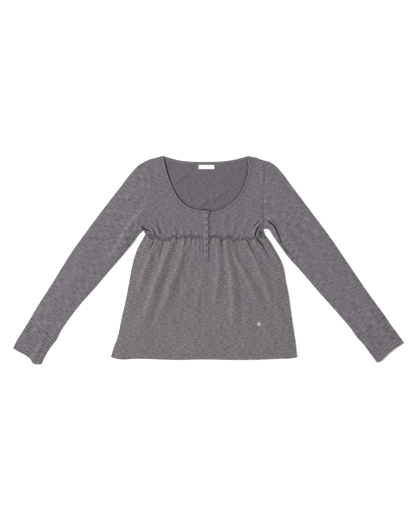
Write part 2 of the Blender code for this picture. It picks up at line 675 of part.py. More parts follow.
def front_binding(name, neck, side, shoulder, centre_x, rise=None):
    """The strip round one side of the neckline, which may start on the placket's top band."""
    shoulder_way = along_shoulder(shoulder)
    shares = neck_shares(neck, centre_x)
    if shares[0] > 0.01:
        shares = [0.0, shares[0] / 2] + shares

    def point(column, row):
        x, y = beside(neck, shares[column], BINDING_WIDTH * row, side, shoulder_way)
        return x, y, front_under(x, y) + (rise(x) if rise else 0.0)

    return panel(name, BINDING_TONE, len(shares) - 1, 1, point, wall=BINDING_WALL)


def back_binding():
    def point(column, row):
        x, y = below_back_neck(column / BACK_BINDING_SEGMENTS, BINDING_WIDTH * row)
        return x, y, 0.0

    return panel("neck_binding_back", BINDING_TONE, BACK_BINDING_SEGMENTS, 1, point)


def sleeve(side):
    """A flattened sleeve whose first section follows the armhole."""
    upper, lower = sleeve_edges[side]
    armhole = armhole_left if side == "left" else armhole_right

    def plan(share, across):
        bow = armhole.at(across) - armhole.at(0.0) * (1 - across) - armhole.at(1.0) * across
        fade = max(0.0, 1 - share / ARMHOLE_BOW_REACH) ** 2
        return upper.at(share) * (1 - across) + lower.at(share) * across + bow * fade

    return tube(f"sleeve_{side}", JERSEY, SLEEVE_SHARES, plan)


def cuff(side):
    upper, lower, end = cuff_edges[side]

    def plan(share, across):
        seam_gap = (SEAM_GAP + 0.1) / upper.length
        along = seam_gap + share * (1 - seam_gap)
        straight = upper.at(along) * (1 - across) + lower.at(along) * across
        bend = end.at(across) - end.at(0.0) * (1 - across) - end.at(1.0) * across
        return straight + bend * share**2

    return tube(f"cuff_{side}", JERSEY, CUFF_SHARES, plan)


def band(name, left, right, top, rise, tone):
    def point(column, row):
        x = left + (right - left) * column / BAND_COLUMNS
        y = top + (PLACKET_BOTTOM + SEAM_GAP - top) * row / BAND_ROWS
        return x, y, front_under(BUTTON_X, y, 0.0) + rise(x)

    return panel(name, tone, BAND_COLUMNS, BAND_ROWS, point)


def frill(name, run):
    """The wavy strip that stands over the gathered seam."""
    segments = FRILL_WAVES * FRILL_SEGMENTS_PER_WAVE

    def point(column, row):
        share = column / segments
        x = run[0] + (run[1] - run[0]) * share
        wave = share * FRILL_WAVES
        swing = FRILL_SWING * varied(FRILL_SWING_VARIES, wave) * np.sin(2 * np.pi * wave)
        y = waist.y_at(x) + swing + FRILL_WIDTH * (row / 2 - 0.5)
        crown = FRILL_CROWN if row == 1 else 0.0
        return x, y, front_under(x, waist.y_at(x)) + WALL + FRILL_LIFT + crown

    return panel(name, BINDING_TONE, segments, 2, point, wall=FRILL_WALL)


def button(number):
    """A turned button with a raised rim and a dished middle, on the placket's top band."""
    y = BUTTON_TOP_Y - number * BUTTON_SPACING
    seat = front_under(BUTTON_X, y, 0.0) + BAND_RISE + WALL + 2 * SEAM_GAP
    shape = bmesh.new()
    profile = [shape.verts.new((ring.radius, 0, ring.height)) for ring in BUTTON_RINGS]
    for below, above in zip(profile, profile[1:]):
        shape.edges.new((below, above))
    bmesh.ops.spin(
        shape, geom=shape.verts[:] + shape.edges[:], axis=(0, 0, 1), cent=(0, 0, 0),
        angle=2 * np.pi, steps=BUTTON_SIDES, use_merge=True,
    )
    bmesh.ops.remove_doubles(shape, verts=shape.verts, dist=0.01)
    for vert in shape.verts:
        vert.co = place(BUTTON_X + vert.co.x, y + vert.co.y, seat + vert.co.z)
    return add_object(f"button_{number + 1}", shape, BUTTON_TONE)


def label():
    def point(column, row):
        x = LABEL_CENTRE[0] + LABEL_SIZE[0] * (column / LABEL_COLUMNS - 0.5)
        y = LABEL_CENTRE[1] + LABEL_SIZE[1] * (row / LABEL_ROWS - 0.5)
        return x, y, BACK_TOP

    return panel("neck_label", LABEL_TONE, LABEL_COLUMNS, LABEL_ROWS, point, wall=LABEL_WALL)


def build_garment():
    back_skirt()
    back_bodice()
    back_binding()
    label()
    front_skirt()
    right_start = NECK_RIGHT[0][0]
    front_bodice(
        "front_bodice_left", neck_left, 1, shoulder_left, armhole_left, WAIST[0], PLACKET_LEFT
    )
    front_bodice(
        "front_bodice_right", neck_right, -1, shoulder_right, armhole_right, WAIST[-1], right_start
    )
    front_binding("neck_binding_left", neck_left, 1, shoulder_left, PLACKET_LEFT, placket_rise)
    front_binding("neck_binding_right", neck_right, -1, shoulder_right, right_start)
    for side in ("left", "right"):
        sleeve(side)
        cuff(side)
    under_right, top_left = PLACKET_RIGHT - SEAM_GAP, PLACKET_LEFT + SEAM_GAP
    band("placket_under", UNDER_BAND_LEFT, under_right, UNDER_BAND_TOP, lambda x: 0.0, JERSEY)
    band("placket_band", top_left, TOP_BAND_RIGHT, PLACKET_TOP, placket_rise, BINDING_TONE)
    frill("waist_frill_left", FRILL_LEFT_RUN)
    frill("waist_frill_right", FRILL_RIGHT_RUN)
    for number in range(BUTTON_COUNT):
        button(number)


for old in list(bpy.data.objects):
    bpy.data.objects.remove(old)
build_garment()
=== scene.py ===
"""Dressed model of a long-sleeved babydoll top in heathered jersey, laid flat on its back.

Lengths are in millimetres in the garment's own plan: x to the right of the centre front, y up
from the empire seam, z up from the surface that it lies on. to_frame() turns them into metres in
the frame.
"""

from __future__ import annotations

import logging
import math
from dataclasses import dataclass
from enum import Enum
from functools import cached_property
from typing import Callable, NamedTuple

import bmesh
import bpy
import numpy as np
from mathutils import Matrix, Vector


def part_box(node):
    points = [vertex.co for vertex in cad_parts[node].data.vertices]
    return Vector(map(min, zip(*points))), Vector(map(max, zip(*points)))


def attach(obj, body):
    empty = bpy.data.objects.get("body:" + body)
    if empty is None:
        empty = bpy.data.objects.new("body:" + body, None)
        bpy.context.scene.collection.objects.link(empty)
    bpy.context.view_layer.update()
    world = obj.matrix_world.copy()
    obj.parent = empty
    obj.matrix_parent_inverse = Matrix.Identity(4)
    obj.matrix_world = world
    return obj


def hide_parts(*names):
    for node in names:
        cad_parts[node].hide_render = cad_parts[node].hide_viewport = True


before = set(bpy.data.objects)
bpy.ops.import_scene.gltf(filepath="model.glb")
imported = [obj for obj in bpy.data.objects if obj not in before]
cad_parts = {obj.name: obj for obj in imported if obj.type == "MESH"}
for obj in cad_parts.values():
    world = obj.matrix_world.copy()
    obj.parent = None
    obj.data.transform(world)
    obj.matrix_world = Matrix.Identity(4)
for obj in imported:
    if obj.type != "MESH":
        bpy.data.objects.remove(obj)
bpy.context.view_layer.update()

Array = np.ndarray
Knots = tuple[tuple[float, float], ...]
Colour = tuple[float, float, float]
log = logging.getLogger("babydoll_top")

MM = 0.001
BUTTON_X = 4.35
PLACKET_RIGHT = 12.9
BUTTON_TOP_Y = 62.4
TOP_BUTTON = (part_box("button_1")[0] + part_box("button_1")[1]) / 2
MIDDLE_X = BUTTON_X - TOP_BUTTON.x / MM
MIDDLE_Y = BUTTON_TOP_Y - TOP_BUTTON.y / MM

WALL = 1.0
SEAM_GAP = 0.25
BACK_TOP = WALL + SEAM_GAP
NECK_SEAM = 6.5
BAND_GAP = 0.4
BAND_LEFT = -5.8
BAND_CLIMB = 4.0
BUTTON_GAP = 0.35
BUTTON_SPACING = 19.2
BUTTON_TILTS = (8.0, -14.0, -24.0, -28.0, 6.0, 0.0, 3.0)
MERGE_WITHIN = 0.00001
ARMHOLE_SHARES = (0.0, 0.02, 0.07, 0.14, 0.22, 0.31, 0.4, 0.5, 0.6, 0.7, 0.8, 0.89, 0.96, 1.0)


class Side(Enum):
    """A side of the garment as it is seen from the front."""

    LEFT = "left"
    RIGHT = "right"

    @property
    def sign(self) -> int:
        """1 on the side where a neckline that climbs has its cloth to the left."""
        return 1 if self is Side.LEFT else -1


class Slot(Enum):
    """The record's material slots."""

    JERSEY = "jersey"
    INSIDE = "jersey_inside"
    BINDING = "binding"
    BUTTON = "button"
    LABEL = "label"


def to_frame(x: Array, y: Array, z: Array) -> Array:
    """Turn places in the plan into metres in the frame.

    Args:
        x: millimetres to the right of the centre front.
        y: millimetres up from the empire seam.
        z: millimetres up from the surface.

    Returns:
        One row of three coordinates for each place.
    """
    x, y, z = np.broadcast_arrays(x, y, z)
    return np.stack([(x - MIDDLE_X) * MM, (y - MIDDLE_Y) * MM, z * MM], axis=-1)


def smooth(value: Array) -> Array:
    """Ease a value from 0 to 1, flat at both ends."""
    value = np.clip(value, 0.0, 1.0)
    return value * value * (3 - 2 * value)


def mixed(start: Array, end: Array, share: Array) -> Array:
    """Walk from one value or place to another by a share."""
    return start + (end - start) * share


def bell(apart: Array, reach: float) -> Array:
    """1 at no distance, fading softly to 0 past the reach."""
    return np.exp(-((apart / reach) ** 2))


def varied(number: Array, even: float, swing: float, pace: float, start: float) -> Array:
    """A factor that differs from one numbered wave to the next."""
    return even + swing * np.sin(pace * number + start)


def drifting(x: Array, wave: float, swing: float, slow_wave: float, phase: float = 0.0) -> Array:
    """A sine along x whose waves drift in length, so that no two look alike."""
    return np.sin(x / wave + phase + swing * np.sin(x / slow_wave))


@dataclass(frozen=True)
class Line:
    """A smooth line in plan through a few points, read by its share of length from 0 to 1."""

    knots: Knots
    steps: int = 12
    look: float = 0.004

    @cached_property
    def points(self) -> Array:
        """Work out close points on the line.

        Returns:
            One row of x and y for each point.
        """
        knots = np.array(self.knots, float)
        spans = np.linalg.norm(np.diff(knots, axis=0), axis=1)
        slopes = np.diff(knots, axis=0) / spans[:, None]
        tangents = np.empty_like(knots)
        tangents[0], tangents[-1] = slopes[0], slopes[-1]
        weight = (spans[1:] / (spans[1:] + spans[:-1]))[:, None]
        tangents[1:-1] = slopes[:-1] * weight + slopes[1:] * (1 - weight)
        t = (np.arange(1, self.steps + 1) / self.steps)[:, None]
        walked = [knots[:1]]
        for i, span in enumerate(spans):
            leaving, arriving = tangents[i] * span, tangents[i + 1] * span
            walked.append(
                knots[i] * (2 * t**3 - 3 * t**2 + 1)
                + leaving * (t**3 - 2 * t**2 + t)
                + knots[i + 1] * (3 * t**2 - 2 * t**3)
                + arriving * (t**3 - t**2)
            )
        return np.concatenate(walked)

    @cached_property
    def walked(self) -> Array:
        """Length walked at each of the close points."""
        steps = np.linalg.norm(np.diff(self.points, axis=0), axis=1)
        return np.concatenate([[0.0], np.cumsum(steps)])

    @property
    def length(self) -> float:
        """The whole length in millimetres."""
        return float(self.walked[-1])

    def at(self, share: Array) -> Array:
        """Read places on the line.

        Args:
            share: shares of the length, from 0 to 1.

        Returns:
            One row of x and y for each share.
        """
        walked = np.asarray(share, float) * self.length
        return np.stack([np.interp(walked, self.walked, self.points[:, i]) for i in (0, 1)], axis=-1)

    def normal(self, share: Array) -> Array:
        """Unit directions to the left of the line.

        Args:
            share: shares of the length, from 0 to 1.

        Returns:
            One row of x and y for each share.
        """
        share = np.asarray(share, float)
        ahead = self.at(np.minimum(share + self.look, 1.0)) - self.at(np.maximum(share - self.look, 0.0))
        ahead /= np.linalg.norm(ahead, axis=-1, keepdims=True)
        return np.stack([-ahead[..., 1], ahead[..., 0]], axis=-1)

    def x_at(self, y: Array) -> Array:
        """The line's x where it crosses a height y."""
        order = np.argsort(self.points[:, 1])
        return np.interp(y, self.points[order, 1], self.points[order, 0])

    def y_at(self, x: Array) -> Array:
        """The line's y where it crosses an x."""
        order = np.argsort(self.points[:, 0])
        return np.interp(x, self.points[order, 0], self.points[order, 1])

    def near(self, x: Array, y: Array, reach: float) -> tuple[Array, Array, Array, Array]:
        """Find the places within reach of the line.

        Args:
            x: x of each place, in one row.
            y: y of each place.
            reach: the largest distance that matters.

        Returns:
            The numbers of the places in the line's neighbourhood, their distance, positive to the
            left of the line, their share of its length, and the unsigned distance.
        """
        low, high = self.points.min(axis=0) - reach, self.points.max(axis=0) + reach
        inside = np.flatnonzero((x > low[0]) & (x < high[0]) & (y > low[1]) & (y < high[1]))
        best = np.full(len(inside), np.inf)
        side = np.ones(len(inside))
        share = np.zeros(len(inside))
        px, py = x[inside], y[inside]
        for number, (start, end) in enumerate(zip(self.points[:-1], self.points[1:])):
            run = end - start
            off_x, off_y = px - start[0], py - start[1]
            part = np.clip((off_x * run[0] + off_y * run[1]) / (run @ run), 0, 1)
            apart = np.hypot(off_x - run[0] * part, off_y - run[1] * part)
            closer = apart < best
            best[closer] = apart[closer]
            side[closer] = np.sign(run[0] * off_y - run[1] * off_x)[closer]
            along = mixed(self.walked[number], self.walked[number + 1], part) / self.length
            share[closer] = along[closer]
        return inside, best * side, share, best


@dataclass(frozen=True)
class Cut:
    """Outline and seams of the garment in plan."""

    waist: Line = Line((
        (-172.6, 8.7), (-155, 1.5), (-135, -3.5), (-110, -5.5), (-78, -2.5), (-43, 0), (0, -0.5), (40, 0),
        (66, -2), (90, 0), (128, -1), (150, 2.2), (172, 8.6),
    ))
    skirt_left: Line = Line((
        (-172.6, 8.7), (-180.4, -5.8), (-193.4, -29), (-205.9, -63.8), (-214.6, -101.5), (-222.7, -147.9),
        (-232, -194.3), (-242.7, -240.7), (-252.3, -287.1), (-265.9, -325), (-272.5, -347.5),
    ))
    skirt_right: Line = Line((
        (172, 8.6), (186.2, -11.6), (203.9, -40.6), (217, -63.8), (226.9, -90), (233, -125), (242, -171),
        (248.3, -217.5), (255, -264), (261.8, -310), (266, -348),
    ))
    hem: Line = Line((
        (-272.5, -347.5), (-258.1, -352.6), (-194.3, -352.6), (-147.9, -354.2), (-87, -356),
        (-14.5, -354.3), (95.7, -356), (168.2, -354.5), (208.8, -352.5), (256, -350.2), (266, -348),
    ))
    shoulder_left: Line = Line(((-120.4, 235.8), (-145, 229.3), (-162, 224.6), (-175.8, 218.2)))
    shoulder_right: Line = Line(((121.5, 234.9), (146, 230.5), (168, 222.5), (187, 217.5)))
    armhole_left: Line = Line((
        (-175.8, 218.2), (-168.2, 197.2), (-164.7, 172.3), (-159.8, 152.3), (-158.1, 129.1),
        (-161.5, 110.5), (-163.3, 69), (-169, 45), (-178.4, 20.5),
    ))
    armhole_right: Line = Line((
        (187, 217.5), (178.4, 197.2), (175.2, 172.3), (173.6, 145), (171.7, 118.9), (168.5, 85.6),
        (170.7, 55.7), (171.6, 39.2), (168.4, 22.5),
    ))
    neck_left: Line = Line((
        (12.2, 76.4), (-9, 77.2), (-37.7, 82.8), (-63.8, 99.2), (-84.1, 124.7), (-101.5, 162.4),
        (-113.1, 200.1), (-120.4, 235.8),
    ))
    neck_right: Line = Line((
        (13.3, 71.4), (43.5, 78.3), (78.3, 98.6), (101.5, 124.7), (118.9, 162.4), (126.2, 194.3),
        (125, 218), (121.5, 234.9),
    ))
    neck_back: Line = Line(((-122.6, 235), (-72.5, 221.9), (0, 218), (72.5, 221.9), (124.2, 234.2)))
    sleeve_left_upper: Line = Line((
        (-175.8, 218.2), (-189.5, 210.6), (-211.7, 188.5), (-248, 142.1), (-292.9, 84.1), (-345.1, 14.5),
        (-379.9, -33.4), (-443.7, -134.9), (-475.6, -184.2), (-511.9, -245.1),
    ))
    sleeve_left_lower: Line = Line((
        (-178.4, 20.5), (-190, 9.5), (-205, -9.7), (-242.6, -56.1), (-282.1, -102.5), (-321, -148.8),
        (-361.6, -194.3), (-397.3, -240.7), (-420.5, -275.5), (-430, -296.7),
    ))
    sleeve_right_upper: Line = Line((
        (187, 217.5), (197.2, 211.7), (220.4, 188.5), (246.5, 153.7), (316.1, 60.9), (350.9, 14.5),
        (414.7, -78.3), (478.5, -171.1), (522.9, -231.4),
    ))
    sleeve_right_lower: Line = Line((
        (168.4, 22.5), (180.5, 23.4), (197.4, 2), (213, -20.8), (247.8, -66.4), (270.2, -90.5),
        (330.2, -160.2), (392.8, -230.6), (422.2, -265.2), (441.4, -292.8),
    ))
    cuff_left_upper: Line = Line(((-511.9, -245.1), (-530.7, -275.5), (-545.2, -298.7), (-557.1, -322.5)))
    cuff_left_lower: Line = Line(((-430, -296.7), (-449.5, -321.9), (-464, -345), (-475.6, -369.5)))
    cuff_left_end: Line = Line((
        (-557.1, -322.5), (-537.5, -334), (-518, -344.4), (-505.5, -355), (-498.5, -366.5),
        (-475.6, -369.5),
    ))
    cuff_right_upper: Line = Line(((522.9, -231.4), (536.5, -252.3), (553.9, -275.5), (575.9, -306.2)))
    cuff_right_lower: Line = Line(((441.4, -292.8), (458.2, -310.3), (475.6, -333.5), (498.5, -364)))
    cuff_right_end: Line = Line((
        (575.9, -306.2), (551.5, -321.5), (521, -347.5), (510, -359), (498.5, -364),
    ))
    seam_wave: Line = Line((
        (-172.6, 8.7), (-163, 5.4), (-153, 0.6), (-146.7, -1.5), (-140.1, -1), (-133.1, -4.4),
        (-127.3, -7.4), (-119.2, -6), (-110.8, -9.3), (-105.3, -7.9), (-99.8, -5), (-91.4, -0.5),
        (-85.8, 0.4), (-77.4, -4.8), (-70.5, -1), (-65, 1.6), (-58, -0.8), (-53.1, -2.8), (-44.1, 3),
        (-37.1, -1.9), (-31.6, -1.6), (-27, -3.4), (-22, -0.2), (-17.7, 0.7), (-11, -0.8), (-6.7, -1.6),
        (4, -2), (14, -2.6), (23.2, -1.4), (31, 0.6), (38.9, -0.2), (46.1, -2.9), (53.1, -7.6),
        (59.5, -2.9), (65.5, 0.3), (73.7, -2.5), (79.8, -4.4), (87.6, -7.4), (94, -3.4), (100.3, -5.4),
        (106.4, -6), (112.8, -3.6), (119.2, -4.4), (127, -6), (134.9, -4.6), (141.2, -1.8), (147.3, -1.2),
        (155.2, -2.6), (162, 2.6), (172, 8.6),
    ), steps=6)

    shoulder_look: float = 0.15
    shoulder_turn: float = 0.1
    back_neck_ends: tuple[float, float] = (0.012, 0.988)

    def armhole(self, side: Side) -> Line:
        """The armhole seam of one side."""
        return self.armhole_left if side is Side.LEFT else self.armhole_right

    def shoulder(self, side: Side) -> Line:
        """The shoulder seam of one side."""
        return self.shoulder_left if side is Side.LEFT else self.shoulder_right

    def neck(self, side: Side) -> Line:
        """The front neckline of one side, from the centre up."""
        return self.neck_left if side is Side.LEFT else self.neck_right

    def sleeve(self, side: Side) -> tuple[Line, Line]:
        """Find the folded edges of one sleeve.

        Args:
            side: which sleeve.

        Returns:
            Its upper and its lower edge.
        """
        if side is Side.LEFT:
            return self.sleeve_left_upper, self.sleeve_left_lower
        return self.sleeve_right_upper, self.sleeve_right_lower

    def cuff(self, side: Side) -> tuple[Line, Line, Line]:
        """Find the edges of one cuff.

        Args:
            side: which cuff.

        Returns:
            Its upper and its lower folded edge, and its open end.
        """
        if side is Side.LEFT:
            return self.cuff_left_upper, self.cuff_left_lower, self.cuff_left_end
        return self.cuff_right_upper, self.cuff_right_lower, self.cuff_right_end

    def beside_neck(self, side: Side, share: Array, apart: Array) -> Array:
        """Places beside a front neckline on the cloth's side, which turn along the shoulder.

        Args:
            side: which neckline.
            share: shares of its length, from the centre front up.
            apart: distances from it.

        Returns:
            One row of x and y for each share.
        """
        line, shoulder = self.neck(side), self.shoulder(side)
        share, apart = np.broadcast_arrays(share, apart)
        way = shoulder.at(self.shoulder_look) - shoulder.at(0.0)
        turn = smooth((share - (1 - self.shoulder_turn)) / self.shoulder_turn)[..., None]
        aim = line.normal(share) * side.sign * (1 - turn) + way / np.linalg.norm(way) * turn
        aim /= np.linalg.norm(aim, axis=-1, keepdims=True)
        return line.at(share) + aim * apart[..., None]

    def below_back_neck(self, along: Array, apart: Array) -> Array:
        """Places below the back neckline.

        Args:
            along: shares of its length, from its left end to its right one.
            apart: distances from it.

        Returns:
            One row of x and y for each share.
        """
        along, apart = np.broadcast_arrays(along, apart)
        share = np.interp(along, (0, 1), self.back_neck_ends)
        return self.neck_back.at(share) - self.neck_back.normal(share) * apart[..., None]

    @cached_property
    def folded_edges(self) -> tuple[Line, ...]:
        """Find the edges at which the front layer comes down on the back one.

        Returns:
            One line for each edge.
        """
        sides = tuple(
            Line((start, self.armhole(side).knots[-1]))
            for side, start in ((Side.LEFT, self.waist.knots[0]), (Side.RIGHT, self.waist.knots[-1]))
        )
        cuffs = self.cuff(Side.LEFT)[:2] + self.cuff(Side.RIGHT)[:2]
        sleeves = self.sleeve(Side.LEFT) + self.sleeve(Side.RIGHT)
        shoulders = (self.shoulder_left, self.shoulder_right)
        return (self.skirt_left, self.skirt_right) + sides + shoulders + sleeves + cuffs


@dataclass(frozen=True)
class Fold:
    """A soft fold of the cloth, or a crease where its height is negative.

    The path follows the steepest line of the flank that climbs from the left. The flank steepens
    slowly up to it and rounds off quickly past it, and from the crest the cloth falls away over a
    longer stretch. A fold without a fall is the same on both sides of its path. Its widths and
    height grow by the spread towards its end.
    """

    height: float
    climb: float
    path: Knots
    fall: float = 0.0
    spread: float = 1.0
    fade_in: float = 0.1
    fade_out: float = 0.4
    # painted shade: how far the crease darkens the cloth's colour along its bottom
    dark: float = 0.0
    crest_share: float = 0.4
    steepening: float = 2.8
    painted_shade_share: float = 0.85

    @cached_property
    def line(self) -> Line:
        """The fold's path in plan."""
        return Line(self.path, steps=8)

    def flank(self, across: Array, climb: Array) -> Array:
        """Profile of the fold across its path.

        Args:
            across: distances to the left of the path.
            climb: how wide the climbing flank is at each of them.

        Returns:
            The height from 0 to 1.
        """
        crest = climb * self.crest_share
        before = np.clip(across / climb + 1, 0, 1) ** self.steepening * climb / self.steepening
        past = np.clip(across / crest, 0, 1)
        whole = climb / self.steepening + crest / 2
        climbed = (before + crest * (past - past**3 + past**4 / 2)) / whole
        return climbed * smooth(1 - (across - crest) / (climb * self.fall / self.climb))

    def add_to(self, lift: Array, x: Array, y: Array) -> None:
        """Add the fold's height to the places that it reaches.

        Args:
            lift: height at each place, which is added to.
            x: x of each place, in one row.
            y: y of each place.
        """
        reach = (self.climb * self.crest_share + max(self.fall, self.climb)) * max(1.0, self.spread)
        inside, signed, share, _ = self.line.near(x, y, reach)
        growth = 1 + (self.spread - 1) * np.sqrt(share)
        climb = self.climb * growth
        if self.fall:
            profile = self.flank(signed, climb)
        else:
            profile = np.clip(1 - (signed / climb) ** 2, 0, None) ** 2
        lift[inside] += self.height * growth * profile * self.fade(share)

    def fade(self, share: Array) -> Array:
        """How much of the fold is left at a share of its length."""
        return smooth(share / self.fade_in) * smooth((1 - share) / self.fade_out)

    def paint_crease_shade(self, shade: Array, x: Array, y: Array) -> None:
        """Add the painted shade that darkens the cloth's colour in the bottom of a crease.

        Args:
            shade: shade at each place, which is added to.
            x: x of each place, in one row.
            y: y of each place.
        """
        half = self.painted_shade_share * self.climb
        inside, signed, share, _ = self.line.near(x, y, half)
        shade[inside] += self.dark * np.clip(1 - (signed / half) ** 2, 0, None) ** 2 * self.fade(share)


SKIRT_FOLDS = (
    Fold(1.6, 4.5, (
        (-142, -7), (-151, -26), (-160.7, -44.7), (-170.5, -73.7), (-181, -105), (-192.6, -139),
        (-203, -172),
    ), fall=8, spread=3.4, fade_in=0.06),
    Fold(1.3, 5, ((-127, -8), (-134, -20), (-142.7, -34), (-150, -56)), fall=8),
    Fold(1.9, 5, (
        (-101.5, -9), (-110.8, -39.2), (-120.6, -59.7), (-133.1, -95.7), (-150, -134), (-173, -208),
        (-201, -251), (-234, -304),
    ), fall=8, spread=4.6, fade_in=0.03, fade_out=0.6),
    Fold(1.3, 4, ((-91, -6), (-96.9, -31.9), (-101, -56)), fall=7),
    Fold(1.65, 4.5, (
        (-61.5, -3), (-66.4, -27.8), (-71.9, -45.8), (-82.9, -87.6), (-97.4, -118.6), (-122.1, -188.5),
        (-143, -234.6), (-159.5, -304),
    ), fall=7.5, spread=4.6, fade_in=0.03, fade_out=0.6),
    Fold(1.3, 5, ((-44.1, -2), (-48.4, -18.3), (-58, -52)), fall=8),
    Fold(0.9, 3.5, ((-31, -6), (-31.6, -50)), fall=6),
    Fold(1.3, 4.5, ((-19.5, -3), (-20.6, -32), (-22, -66)), fall=7),
    Fold(1.2, 10, ((-33, -40), (-37.7, -60.9), (-56, -120)), fall=16),
    Fold(1.3, 12, ((-8, -80), (-14, -130), (-38, -213.7), (-46, -270)), fall=22),
    Fold(1.1, 11, ((-52, -130), (-72, -190), (-84, -250)), fall=20),
    Fold(2.4, 10, (
        (32, -3), (33.5, -40), (34.8, -110.2), (27, -159.5), (16, -215),
    ), fall=13, spread=1.6, fade_in=0.04),
    Fold(1.7, 4.5, (
        (57, -3), (60.9, -40.9), (62.6, -64.4), (72.5, -110.2), (76, -170), (76.6, -222.1), (72, -285),
    ), fall=8, spread=3.6, fade_in=0.03),
    Fold(1.5, 4.5, (
        (73.7, -24), (86.1, -61.2), (97.4, -84.7), (126.4, -139.2), (148, -190), (163.6, -235.3),
    ), fall=8, spread=3.2),
    Fold(1.5, 4.5, (
        (111, -4), (120, -24), (130, -43), (140, -62), (149.1, -88.4), (167, -130), (180, -172.3),
        (209, -240.4),
    ), fall=8, spread=3.4, fade_in=0.03),
    Fold(1.5, 7, ((138, -5), (153, -30), (170, -58), (188, -96)), fall=12),
    Fold(1.5, 7, ((163, -2), (180, -28), (199, -56), (214, -92)), fall=12),
    Fold(1.2, 12, ((196, -150), (212, -220), (220, -290)), fall=24),
    Fold(1, 12, ((-104, -213.7), (-101, -250), (-103, -300)), fall=24),
    Fold(1, 12, ((110, -200), (118, -255), (122, -300)), fall=24),
)
# dark, here and in the tables below, is painted shade laid into the cloth's colour along a crease's bottom
SKIRT_CREASES = (
    Fold(-3, 3, (
        (-146, -10), (-157, -34), (-163.1, -48), (-168, -66),
    ), fade_in=0.05, fade_out=0.8, dark=0.4),
    Fold(-2.4, 6.5, ((-116, -6), (-123, -34), (-134, -64)), dark=0.12),
    Fold(-1.6, 3.2, ((-108.5, -6), (-113, -26), (-119, -44)), fade_out=0.9, dark=0.12),
    Fold(-1.6, 3.2, ((-81.2, -5), (-82, -33), (-84, -48)), fade_out=0.9, dark=0.2),
    Fold(-1.4, 3.2, ((-54.5, -3), (-59, -28), (-67, -50)), fade_out=0.9, dark=0.15),
    Fold(-1.2, 3, ((-37.2, -4), (-39.4, -34)), fade_out=0.9, dark=0.1),
    Fold(-1.2, 3, ((-25.6, -4), (-26.4, -40)), fade_out=0.9, dark=0.1),
    Fold(-1.2, 3.4, ((22, -3), (21, -40)), fade_out=0.9, dark=0.08),
    Fold(-2.4, 3.2, (
        (45.2, -4), (49.9, -17.1), (52.6, -40.9), (54, -66),
    ), fade_in=0.04, fade_out=0.9, dark=0.3),
    Fold(-3, 3.4, (
        (79.8, -4), (88, -11.3), (94, -26.7), (96.3, -46.1), (99, -70),
    ), fade_in=0.04, fade_out=0.9, dark=0.4),
    Fold(-3.4, 3.4, (
        (121, -5), (133.1, -29.9), (144.1, -48.7), (152.3, -67.6), (162, -98),
    ), fade_in=0.04, fade_out=0.95, dark=0.55),
    Fold(-4.4, 3.8, (
        (150, -4), (166.2, -22), (178.9, -44.1), (191.4, -62.9), (204, -86),
    ), fade_in=0.03, fade_out=0.95, dark=0.85),
)
BODICE_FOLDS = (
    Fold(4, 15, ((-188, 36), (-172, 20), (-160, 10), (-150, -6)), fade_in=0.1),
    # the underarm hollow: its dark paints the hollow's shade nearly black
    Fold(-7, 3.6, (
        (-184, 31), (-177, 25.6), (-170.5, 20.6), (-166, 16.5),
    ), fade_in=0.12, fade_out=0.15, dark=2.2),
    Fold(-3, 3, ((-169, 20.5), (-163, 18.6), (-156.5, 15)), fade_in=0.2, fade_out=0.3, dark=0.7),
    Fold(-3.4, 2.8, (
        (-166, 8.5), (-158.1, 1.5), (-152.3, -5.8), (-146.5, -14.5),
    ), fade_in=0.15, fade_out=0.3, dark=0.65),
    Fold(2.4, 5, ((-163, 29), (-155, 22), (-150, 9), (-149, 0)), fall=5, fade_out=0.2),
    Fold(-1.6, 3.4, ((-154, 26.5), (-146.6, 18), (-143, 9), (-142, 0)), fade_out=0.15, dark=0.12),
    Fold(2.6, 7, ((-150, 36), (-142.2, 24.5), (-134, 3.1)), fall=9, fade_out=0.15),
    Fold(-1.8, 7, ((-139, 52), (-131.1, 31.9), (-122, 6)), fade_out=0.2, dark=0.06),
    Fold(0.9, 3, ((-167, 205), (-161, 165), (-157, 126)), fall=6),
    Fold(2, 6, ((160, 214), (164, 180), (158, 142)), fall=11),
    Fold(1.3, 4, ((-104.8, 18), (-99.6, 1.2)), fall=7, fade_out=0.15),
    Fold(1.4, 5, ((-93.8, 34), (-90, 16), (-86.3, 2.1)), fall=8, fade_out=0.15),
    Fold(1, 8, ((-90, 74), (-89, 36)), fall=14),
    Fold(1.1, 5, ((-67, 26), (-64, 3)), fall=8, fade_out=0.15),
    Fold(1.1, 5, ((-46, 24), (-44.5, 3)), fall=8, fade_out=0.15),
    Fold(0.8, 4, ((-26, 18), (-25.5, 2)), fall=7, fade_out=0.15),
    Fold(1.5, 7, ((58, 72), (53, 40), (50.9, 3)), fall=12, fade_out=0.15),
    Fold(1.3, 6.5, ((86, 50), (80, 24), (77.4, 1)), fall=11, fade_out=0.15),
    Fold(1.3, 6.5, ((122, 58), (110, 27), (104, 1)), fall=11, fade_out=0.15),
    Fold(1, 4, ((30, 22), (30.6, 2)), fall=7, fade_out=0.15),
    Fold(3.6, 18, ((168, 62), (156, 34), (150, 4), (156, -20)), fade_in=0.3),
    Fold(-3.4, 2.8, ((159.5, 49.5), (151, 39), (143, 29.5), (137, 18)), fade_out=0.5, dark=0.6),
    Fold(2.6, 5, ((158, 40), (147.5, 29), (139, 4)), fall=5, fade_out=0.2),
    Fold(-6, 2.6, (
        (156.5, 30), (150.5, 22), (146.9, 12), (145.6, 0),
    ), fade_in=0.06, fade_out=0.08, dark=0.95),
    Fold(-4.5, 2.6, ((158, 19), (158.6, 13), (161, 4)), fade_in=0.05, fade_out=0.2, dark=0.7),
    Fold(-5, 2.6, ((164, 18), (164, 11), (160.5, 5)), fade_in=0.05, fade_out=0.3, dark=0.8),
    Fold(-4.5, 2.4, ((163, 10.5), (168, 10.6), (172, 10)), fade_in=0.1, fade_out=0.05, dark=0.9),
)
